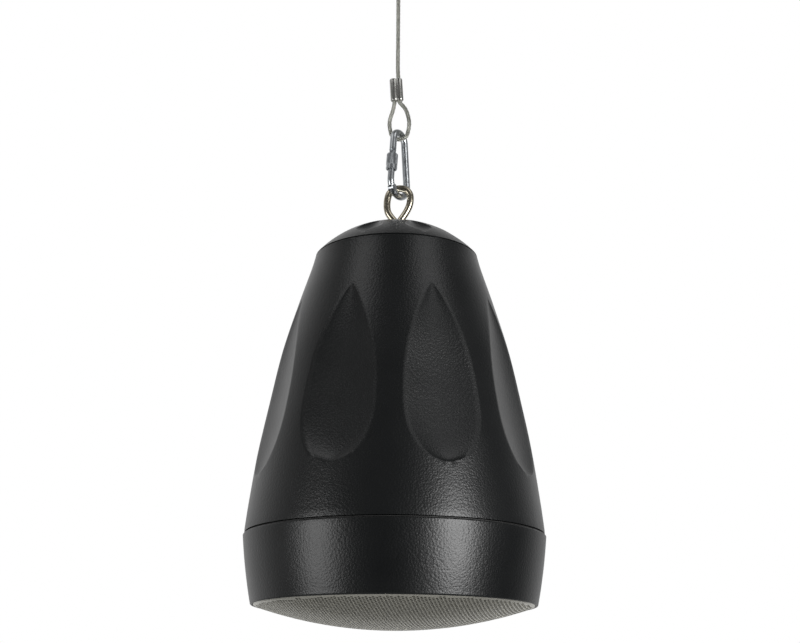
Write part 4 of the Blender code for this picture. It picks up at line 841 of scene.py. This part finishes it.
# %% Honeycomb of cells
GRILLE_R = 92.4
GRILLE_DROP = 15.0
SKIRT_TOP = 7.7
BEND_R = 1.4
SHEET = 0.8
PITCH = 2.5
HOLE_R = 0.95
PATTERN_TURN = math.radians(21.5)
PLAIN_BORDER = 2.5
CELLS_ALONG = 133
CELLS_DEEP = 86

bpy.ops.mesh.primitive_circle_add(vertices=6, radius=PITCH / math.sqrt(3) * MM, fill_type="NGON")
grille = bpy.context.object
grille.name = grille.data.name = "perforated_grille"
shear = PITCH / 2 * MM
to_next_row = Vector((shear, math.sqrt(3) * shear, 0.0))
to_next_cell = Vector((2 * shear, 0.0, 0.0))
for count, offset in ((CELLS_DEEP, to_next_row), (CELLS_ALONG, to_next_cell)):
    apply_modifier(
        grille,
        "ARRAY",
        count=count,
        use_relative_offset=False,
        use_constant_offset=True,
        constant_offset_displace=offset,
        use_merge_vertices=True,
        merge_threshold=2 * SAME_SPOT,
    )
middle = (to_next_row * (CELLS_DEEP - 1) + to_next_cell * (CELLS_ALONG - 1)) / 2
pick(grille, "VERT", lambda place: True)
bpy.ops.transform.translate(value=-middle)
bpy.ops.transform.rotate(value=-PATTERN_TURN, orient_axis="Z", center_override=(0, 0, 0))
bpy.ops.mesh.remove_doubles(threshold=5 * SAME_SPOT)
pick(grille, "FACE", lambda place: place.length > (GRILLE_R - PLAIN_BORDER) * MM)
bpy.ops.mesh.delete(type="FACE")
bpy.ops.object.mode_set(mode="OBJECT")
cells = len(grille.data.polygons)

# %% Border, holes, dome and thickness
dome_r = (GRILLE_R**2 + GRILLE_DROP**2) / (2 * GRILLE_DROP)
dome_slope = math.degrees(math.asin(GRILLE_R / dome_r))
bend_start = GRILLE_R - BEND_R + BEND_R * math.sin(math.radians(dome_slope))


def dome_height(radius):
    return -GRILLE_DROP + dome_r - math.sqrt(dome_r**2 - radius**2)


pick(grille, "EDGE", lambda place: False)
bpy.ops.mesh.select_non_manifold()
bpy.ops.mesh.extrude_edges_move(TRANSFORM_OT_translate={"value": (0.0, 0.0, 0.0)})
bpy.ops.object.mode_set(mode="OBJECT")
for vertex in grille.data.vertices:
    if vertex.select:
        vertex.co = vertex.co.normalized() * bend_start * MM
pick(grille, "FACE", lambda place: False)
bpy.ops.object.mode_set(mode="OBJECT")
for face in grille.data.polygons:
    face.select = len(face.vertices) == 6
bpy.ops.object.mode_set(mode="EDIT")
bpy.ops.mesh.inset(thickness=(PITCH / 2 - HOLE_R) * MM, use_individual=True)
bpy.ops.mesh.delete(type="FACE")
bpy.ops.mesh.select_all(action="SELECT")
bpy.ops.mesh.remove_doubles(threshold=SAME_SPOT)
bpy.ops.object.mode_set(mode="OBJECT")

for vertex in grille.data.vertices:
    vertex.co.z = h(dome_height(vertex.co.xy.length / MM))

bend_centre = (GRILLE_R - BEND_R, dome_height(bend_start) + BEND_R * math.cos(math.radians(dome_slope)))
skirt_line = [*arc(bend_centre, BEND_R, dome_slope - 90, 0, 6)[1:], (GRILLE_R, SKIRT_TOP)]
pick(grille, "EDGE", lambda place: place.xy.length > (bend_start - 0.05) * MM)
for radius, height in skirt_line:
    bpy.ops.mesh.extrude_edges_move(TRANSFORM_OT_translate={"value": (0.0, 0.0, 0.0)})
    bpy.ops.object.mode_set(mode="OBJECT")
    for vertex in grille.data.vertices:
        if vertex.select:
            vertex.co.xy = vertex.co.xy.normalized() * radius * MM
            vertex.co.z = h(height)
    bpy.ops.object.mode_set(mode="EDIT")
pick(grille, "FACE", lambda place: True)
bpy.ops.mesh.normals_make_consistent(inside=False)
bpy.ops.object.mode_set(mode="OBJECT")
faces = len(grille.data.polygons)
down = sum(face.normal.z < 0 for face in grille.data.polygons)
print("Grille cells", cells, "faces that point down", down, "of", faces)
outwards = -1.0 if down > faces / 2 else 1.0
apply_modifier(grille, "SOLIDIFY", thickness=SHEET * MM, offset=outwards)
done(grille, 40)

# %% [markdown]
# ### Lacquered steel sheet
#
# The sheet is lacquered in a warm metallic grey. The lacquer is thin enough to leave the metal's
# glints, so the finish is part metal, with a soft unevenness between holes.

# %% Grille finish
lacquered_steel = mottled(
    "lacquered_perforated_steel", 2.0, ("#B4B2A8", "#D8D6CC"), (0.22, 0.34), (0.2, 0.04), metallic=0.7
)

dress(grille, lacquered_steel, "speaker", "grille", slot="grille_steel")

# %% [markdown]
# ## The eye bolt
#
# Five millimetre wire is bent into an egg-shaped eye that leans a little, as a hand bend does. Its
# end butts against its own neck, and the other end runs down through the cap into the speaker,
# where washers and nuts hold it. The bends are places on one traced line with a round section.

# %% Bend the eye bolt
BOLT_END = HOUSING_TOP - WALL - 16.5
END_AT_NECK = [(-1.7, -24.1), (-4.2, -21.0), (-6.2, -17.6), (-7.0, -13.4)]
LEFT_OF_TOP = [(-6.8, -8.4), (-5.6, -3.8), (-2.6, -0.6)]
RIGHT_OF_TOP = [(1.35, 0.4), (4.8, 0.1), (7.4, -1.4), (9.2, -4.4)]
RIGHT_SIDE = [(9.5, -8.6), (8.6, -13.1), (6.5, -17.6)]
DOWN_TO_NECK = [(4.0, -21.6), (1.7, -25.0), (0.4, -28.2), (0.0, -31.5)]

bends = [*END_AT_NECK, *LEFT_OF_TOP, *RIGHT_OF_TOP, *RIGHT_SIDE, *DOWN_TO_NECK]
eye_line = smooth_line([Vector((across, 0.0, EYE_TOP + up)) for across, up in bends], 5)
eye_line.append(Vector((0.0, 0.0, BOLT_END)))
eye_bolt = wire("bent_wire_eye", [front(p.x, p.z) for p in eye_line], WIRE_R)
done(eye_bolt, 50)

# %% [markdown]
# ### Bright nickel
#
# The eye is nickel plated. The plate is a little warm, and handling has left it cloudy in spots.

# %% Nickel finish
nickels = ("#8E8471", "#D9D2C0")
bright_nickel = mottled("bright_nickel_plate", 2.5, nickels, (0.18, 0.3), (0.15, 0.05), 1.0, 5.0)

dress(eye_bolt, bright_nickel, "speaker", "eye_bolt", slot="stainless_wire")

# %% [markdown]
# ## The screw-lock carabiner
#
# The hook is 5 mm wire bent to a pear shape: a small bow for the rope, a large one for the eye.
# Its gate is hinged on a pin in the large bow, and a knurled sleeve screws up over the gate's
# mouth. The hook's plane is turned away from the viewer, so one frame turns a point of that plane,
# across and up, into a place, and a second frame stands upright along the gate's sloping leg.

# %% The carabiner's plane
LOW_R = 10.0
HIGH_R = 6.9
HOOK_TURN = 58.0 - 180
HOOK_SHIFT = 1.2
HINGE_ANGLE = 36.0
GATE_GAP = 0.7
NOSE_DROP = 8.8
high_centre = HOOK_HIGH - HIGH_R
low_centre = HOOK_LOW + LOW_R
nose = high_centre - NOSE_DROP
taper = math.asin((LOW_R - HIGH_R) / (high_centre - low_centre))
slope = math.degrees(taper)
turned = Matrix.Rotation(math.radians(HOOK_TURN), 4, "Z")
hook_plane = Matrix.Translation((HOOK_SHIFT * MM, 0.0, 0.0)) @ turned
nose_across = LOW_R / math.cos(taper) - (nose - low_centre) * math.tan(taper)
leaned = Matrix.Rotation(-taper, 4, "Y") @ Matrix.Translation(-front(0.0, nose))
gate_leg = hook_plane @ Matrix.Translation(front(nose_across, nose)) @ leaned
hinge = arc((0.0, low_centre), LOW_R, -HINGE_ANGLE, 0.0, 1)[0]


def bow(radius, centre, start, end, steps):
    return [hook_plane @ front(x, z) for x, z in arc((0.0, centre), radius, start, end, steps)]


def on_leg(height):
    return gate_leg @ front(0.0, height)


def settle(name, plane):
    """Names the solid just added, applies its place and size, and carries it into a plane."""
    obj = bpy.context.object
    obj.name = name
    only(obj)
    bpy.ops.object.transform_apply(location=True, rotation=True, scale=True)
    obj.data.transform(plane)
    return obj


def disc(name, radius, half_thick, sides=32):
    """A disc about the hinge pin, square to the carabiner's plane."""
    bpy.ops.mesh.primitive_cylinder_add(
        vertices=sides,
        radius=radius * MM,
        depth=2 * half_thick * MM,
        location=front(*hinge),
        rotation=(math.pi / 2, 0.0, 0.0),
    )
    return settle(name, hook_plane)


def slab(name, half_width, half_thick, foot, head):
    """A block about the gate's leg, between two heights along it."""
    bpy.ops.mesh.primitive_cube_add(size=1.0)
    obj = bpy.context.object
    obj.scale = (2 * half_width * MM, 2 * half_thick * MM, (head - foot) * MM)
    obj.location = front(0.0, (foot + head) / 2)
    return settle(name, gate_leg)


print("The gate's leg slopes", round(slope, 1), "degrees")
print("Its hinge is", round(hinge[0], 1), "mm off the middle")

# %% Bend the body and cut its hinge
LUG_HALF = 0.8
PIN_R = 0.9
PIN_HOLE_R = 1.0
TONGUE_RISE = 1.4
TONGUE_HALF = 0.6
SLOT_HALF = 0.75
DRILL_REACH = WIRE_R + 1.0
tongue_foot = nose - GATE_GAP - TONGUE_RISE

small_bow = bow(HIGH_R, high_centre, slope, 180 - slope, 24)
large_bow = bow(LOW_R, low_centre, 180 - slope, 360 - HINGE_ANGLE, 28)
hook = wire("carabiner_hook", [on_leg(nose), *small_bow, *large_bow], WIRE_R)
cut(hook, slab("tongue", 1.7, TONGUE_HALF, tongue_foot, nose + 0.5), "UNION")
cheeks = disc("cheek_room", WIRE_R + 0.5, DRILL_REACH)
cut(cheeks, disc("kept_lug", WIRE_R + 2.0, LUG_HALF))
cut(hook, cheeks)
cut(hook, disc("hinge_lug", WIRE_R, LUG_HALF), "UNION")
cut(hook, disc("pin_hole", PIN_HOLE_R, DRILL_REACH))
done(hook, 40)

# %% Make the gate and its pin
round_hinge = bow(LOW_R, low_centre, 360 - HINGE_ANGLE, 360 + slope, 10)
gate = wire("hinged_gate", [*round_hinge, on_leg(nose - GATE_GAP)], WIRE_R - 0.1)
cut(gate, disc("gate_eye", WIRE_R, WIRE_R - 0.25), "UNION")
cut(gate, disc("lug_room", WIRE_R + 0.9, LUG_HALF + 0.15))
cut(gate, slab("tongue_slot", 5.0, SLOT_HALF, tongue_foot - GATE_GAP, nose + 1.0))
cut(gate, disc("gate_pin_hole", PIN_HOLE_R, DRILL_REACH))
done(gate, 40)
pin = disc("rivet_pin", PIN_R, WIRE_R, WIRE_SIDES)
pick(pin, "FACE", lambda place: abs((hook_plane.inverted() @ place).y) > 0.9 * WIRE_R * MM)
bpy.ops.mesh.inset(thickness=0.25 * MM, use_individual=True)
bpy.ops.object.mode_set(mode="OBJECT")
done(pin, 40)

# %% [markdown]
# The locking sleeve is knurled, so that fingers can turn it. The piece is spun, and every second
# column of its grip is moved inwards, which leaves straight ridges. The collar at the foot and the
# groove above it stay plain.

# %% Turn and knurl the sleeve
SLEEVE_R = 4.0
SLEEVE_BORE_R = WIRE_R + 0.35
SLEEVE_TOP = nose - 3.0
SLEEVE_FOOT = SLEEVE_TOP - 12.6
GROOVE_R = SLEEVE_R - 0.35
KNURLS = 36
KNURL_DEPTH = 0.22
sleeve_line = [
    (SLEEVE_BORE_R, SLEEVE_TOP),
    (SLEEVE_R - 0.8, SLEEVE_TOP),
    (SLEEVE_R - 0.1, SLEEVE_TOP - 0.7),
    (SLEEVE_R, SLEEVE_TOP - 1.1),
    (SLEEVE_R, SLEEVE_FOOT + 3.6),
    (GROOVE_R, SLEEVE_FOOT + 3.3),
    (GROOVE_R, SLEEVE_FOOT + 2.7),
    (SLEEVE_R, SLEEVE_FOOT + 2.4),
    (SLEEVE_R, SLEEVE_FOOT + 0.5),
    (SLEEVE_R - 0.5, SLEEVE_FOOT),
    (SLEEVE_BORE_R, SLEEVE_FOOT),
]
sleeve = spun("knurled_sleeve", closed(sleeve_line), 2 * KNURLS)
for vertex in sleeve.data.vertices:
    radius = math.hypot(vertex.co.x, vertex.co.y)
    column = round(math.atan2(vertex.co.y, vertex.co.x) / (math.pi / KNURLS))
    in_grip = h(SLEEVE_FOOT + 3.4) < vertex.co.z < h(SLEEVE_TOP - 0.9)
    if in_grip and radius > (SLEEVE_R - 0.2) * MM and column % 2:
        shrink = 1 - KNURL_DEPTH * MM / radius
        vertex.co.x *= shrink
        vertex.co.y *= shrink
sleeve.data.transform(gate_leg)
done(sleeve, 25)

# %% [markdown]
# ### Bright zinc plate
#
# Zinc plate on a bent hook is cool and bright. It is not polished, so it mirrors its surroundings
# only in long soft streaks.

# %% Zinc finish
zincs = ("#A3A8AC", "#E2E5E7")
bright_zinc = mottled("bright_zinc_plate", 3.0, zincs, (0.24, 0.36), (0.15, 0.05), 1.0, 5.0)

dress(hook, bright_zinc, "carabiner", "carabiner_body", slot="zinc_plated_steel")
dress(pin, bright_zinc, "carabiner", "gate_pin", slot="zinc_plated_steel")
dress(gate, bright_zinc, "gate", "carabiner_gate", slot="zinc_plated_steel")
dress(sleeve, bright_zinc, "sleeve", "locking_sleeve", slot="zinc_plated_steel")

# %% [markdown]
# ## What stays from the CAD model
#
# The solids that stay are the driver, the line transformer and their screws and leads. They are
# seen through the holes of the grille, or when the speaker is opened. Their shapes are right, so
# they only get the finish of their material, one for each slot of the record. Three of them have a
# pattern of their own: turns of copper wire, the edges of stacked steel sheets, and woven cloth.

# %% Finishes of the inner pieces


def banded(name, size, axes, tones, roughness, height, metallic=0.0):
    """A finish with soft ridges across each of the named axes. They are 2 pi times size apart."""
    made, tree, shader, places = new_material(name)
    waves = {"Vector": places, "Scale": per_mm(size) / 20, "Distortion": 0.4, "Detail": 1.0}
    bands = [add_node(tree, "ShaderNodeTexWave", waves, bands_direction=axis) for axis in axes]
    ridge = bands[0].outputs["Fac"]
    for band in bands[1:]:
        either = {0: ridge, 1: band.outputs["Fac"]}
        ridge = add_node(tree, "ShaderNodeMath", either, operation="MAXIMUM").outputs[0]
    surface(tree, shader, ridge, tones, roughness, ridge, (0.5, height), metallic)
    return made


MOTTLED = {
    "black_plastic": ("moulded_black_nylon", 0.8, ("#0C0C0D", "#161617"), (0.4, 0.52), (0.2, 0.04)),
    "black_insulation": ("black_pvc", 1.0, ("#090909", "#141414"), (0.42, 0.55), (0.15, 0.03)),
    "red_insulation": ("red_pvc", 1.0, ("#8E0F0B", "#B51A13"), (0.4, 0.52), (0.15, 0.03)),
    "blued_steel": ("stoved_black_steel", 1.5, ("#1B1C1F", "#2B2C30"), (0.34, 0.5), (0.3, 0.05), 0.6),
    "bobbin_nylon": ("natural_nylon", 4.0, ("#CFC9B5", "#E2DDCB"), (0.38, 0.5), (0.1, 0.03)),
    "winding_tape": ("yellow_polyester_tape", 5.0, ("#C9A52E", "#DDBB45"), (0.2, 0.34), (0.2, 0.08)),
    "phenolic_strip": ("brown_phenolic_board", 1.0, ("#4A2C14", "#70451F"), (0.4, 0.55), (0.2, 0.05)),
    "ferrite": ("sintered_ferrite", 0.5, ("#232326", "#3A3A3D"), (0.55, 0.75), (0.5, 0.06)),
    "pulp_cone": ("pressed_paper_pulp", 0.5, ("#161618", "#2E2D2C"), (0.75, 0.92), (0.8, 0.12), 0.0, 8.0),
}
BANDED = {
    "spider_cloth": ("resin_dipped_cloth", 0.6, "XY", ("#6B4A1C", "#A97B36"), (0.6, 0.8), 0.12),
    "copper_winding": ("enamelled_copper_wire", 0.3, "Z", ("#5A2A10", "#B5652B"), (0.35, 0.2), 0.1, 0.9),
    "core_lamination": ("stacked_steel_sheets", 0.5, "X", ("#3A3B3D", "#77787A"), (0.5, 0.35), 0.06, 0.8),
}
finishes = {"zinc_plated_steel": bright_zinc, "black_rubber": moulded_rubber}
finishes.update({slot: mottled(*recipe) for slot, recipe in MOTTLED.items()})
finishes.update({slot: banded(*recipe) for slot, recipe in BANDED.items()})

# %% [markdown]
# ## The soft sheets that let the cone move
#
# A rubber surround joins the cone's edge to the basket, and a cup of corrugated cloth, the spider,
# centres the voice coil. Both are fixed at one end and follow the cone at the other, and the
# surround's inner wall and the spider's cup take up the travel. Each is a line spun about the
# axis, with its thickness under it.

# %% Spin the surround and the spider


def hung_sheet(name, outline, thickness):
    """A spun sheet whose outline is its upper face."""
    obj = spun(name, outline, 128)
    wall_under(obj, thickness)
    return done(obj, 40)


def dress_soft(obj, material, node):
    """Gives a sheet its material, bakes its place into its mesh and hides its CAD node."""
    obj.data.materials.clear()
    obj.data.materials.append(material)
    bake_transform(obj)
    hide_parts(node)
    print(obj.name, len(obj.data.polygons), "faces, bends between the speaker and the cone")


ROLL_R = 67.4
ROLL_HALF_WIDTH = 5.8
ROLL_DEPTH = 4.6
ROLL_Z = 16.5
OUTER_LIP = 17.1
INNER_LIP = 20.1
RUBBER = 0.8
turns = [math.radians(angle) for angle in evenly(-20, -160, 16)]
roll = [(ROLL_R + ROLL_HALF_WIDTH * math.cos(a), ROLL_Z + ROLL_DEPTH * math.sin(a)) for a in turns]
outer_lip = [(76.1, OUTER_LIP), (72.9, OUTER_LIP)]
inner_lip = [(61.6, INNER_LIP - 0.9), (61.2, INNER_LIP), (58.8, INNER_LIP)]
surround = hung_sheet("rubber_surround", [*outer_lip, *roll, *inner_lip], RUBBER)
dress_soft(surround, moulded_rubber, "surround")

SEAT = 45.1
SEAT_R = 44.8
COLLAR = 50.1
COLLAR_R = 16.65
CUP_OUT = 41.1
CUP_IN = 18.4
WAVES = 4
WAVE_HEIGHT = 0.8
CLOTH = 0.5
cup = []
for share in evenly(0.0, 1.0, WAVES * 8):
    wave = WAVE_HEIGHT * (math.cos(2 * math.pi * WAVES * share) - 1)
    cup.append((CUP_OUT + (CUP_IN - CUP_OUT) * share, SEAT + (COLLAR - 0.9 - SEAT) * share + wave))
spider = hung_sheet("corrugated_spider", [(SEAT_R, SEAT), *cup, (COLLAR_R, COLLAR)], CLOTH)
dress_soft(spider, finishes["spider_cloth"], "spider")

# %% Finish the CAD nodes that stay
carried = [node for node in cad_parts.values() if not node.hide_render]
for node in carried:
    for held in node.material_slots:
        held.material = finishes[held.material.name.split(".")[0]]
print(len(carried), "CAD nodes stay and get the finish of their slot")

# %% [markdown]
# ## The floor, the lamps and the white background
#
# A product picture has a white paper behind the object, two large soft lamps in front of it and
# two faint ones higher up. The camera sees plain white all round. Gloss on the speaker sees what
# stood in the studio: white paper behind, a dark room behind the camera, and the lamps.

# %% Floor
FLOOR_BELOW_RIM = 1000.0
FLOOR_SIZE = 5000.0
bpy.ops.mesh.primitive_plane_add(size=FLOOR_SIZE * MM)
floor = bpy.context.object
floor.name = "floor"
floor.data.transform(Matrix.Translation(front(0.0, -FLOOR_BELOW_RIM)))
papers = ("#B9B9B7", "#C4C4C2")
pale_paper = mottled("pale_paper", 8.0, papers, (0.9, 0.9), (0.0, 0.0), detail=3.0)
floor.data.materials.append(pale_paper)

# %% Surroundings
TO_THE_BACK = (-0.25, 0.968, 0.0)
BACK_LIGHT = 0.66
LOW_LIGHT = 0.03
HIGH_LIGHT = 0.12
world = bpy.data.worlds.new("studio")
world.use_nodes = True
bpy.context.scene.world = world
tree = world.node_tree
around = add_node(tree, "ShaderNodeTexCoord", {}).outputs["Generated"]
height = add_node(tree, "ShaderNodeSeparateXYZ", {"Vector": around}).outputs["Z"]
facing = {0: around, 1: TO_THE_BACK}
backwards = add_node(tree, "ShaderNodeVectorMath", facing, operation="DOT_PRODUCT").outputs["Value"]


def soft_step(value, start, end, low, high):
    """Rises softly from low to high while a value goes from start to end."""
    step = {0: value, 1: start, 2: end, 3: low, 4: high}
    return add_node(tree, "ShaderNodeMapRange", step, interpolation_type="SMOOTHSTEP").outputs[0]


behind = soft_step(backwards, -0.1, 0.9, 0.0, BACK_LIGHT)
overhead = soft_step(height, 0.1, 0.35, LOW_LIGHT, HIGH_LIGHT)
paper = add_node(tree, "ShaderNodeMath", {0: behind, 1: overhead}, operation="ADD").outputs[0]
to_camera = add_node(tree, "ShaderNodeLightPath", {}).outputs["Is Camera Ray"]
seen = add_node(tree, "ShaderNodeMix", {0: to_camera, 2: paper, 3: 1.0}, data_type="FLOAT")
background = tree.nodes["Background"]
tree.links.new(seen.outputs[0], background.inputs["Strength"])
background.inputs["Color"].default_value = (1.0, 1.0, 1.0, 1.0)

# %% Two strong soft lamps and two faint high ones
LAMP_DISTANCE = 1.4
AIM = 100.0


def soft_lamp(name, azimuth, elevation, width, height, strength):
    """An area lamp that looks at the speaker's middle; azimuth 0 is the front, 90 the right."""
    lamp = bpy.data.lights.new(name, "AREA")
    lamp.shape = "RECTANGLE"
    lamp.size = width
    lamp.size_y = height
    lamp.energy = strength
    obj = bpy.data.objects.new(name, lamp)
    bpy.context.scene.collection.objects.link(obj)
    a = math.radians(azimuth)
    e = math.radians(elevation)
    out = Vector((math.sin(a) * math.cos(e), -math.cos(a) * math.cos(e), math.sin(e)))
    obj.location = front(0.0, AIM) + LAMP_DISTANCE * out
    obj.rotation_euler = (-out).to_track_quat("-Z", "Y").to_euler()
    obj.visible_camera = False


soft_lamp("lamp_right", 47, 0, 0.55, 0.82, 17.3)
soft_lamp("lamp_left", -55, -5, 0.6, 0.74, 6.5)
soft_lamp("lamp_high_right", 50, 52, 0.6, 0.5, 1.4)
soft_lamp("lamp_high_left", -50, 52, 0.6, 0.5, 1.4)
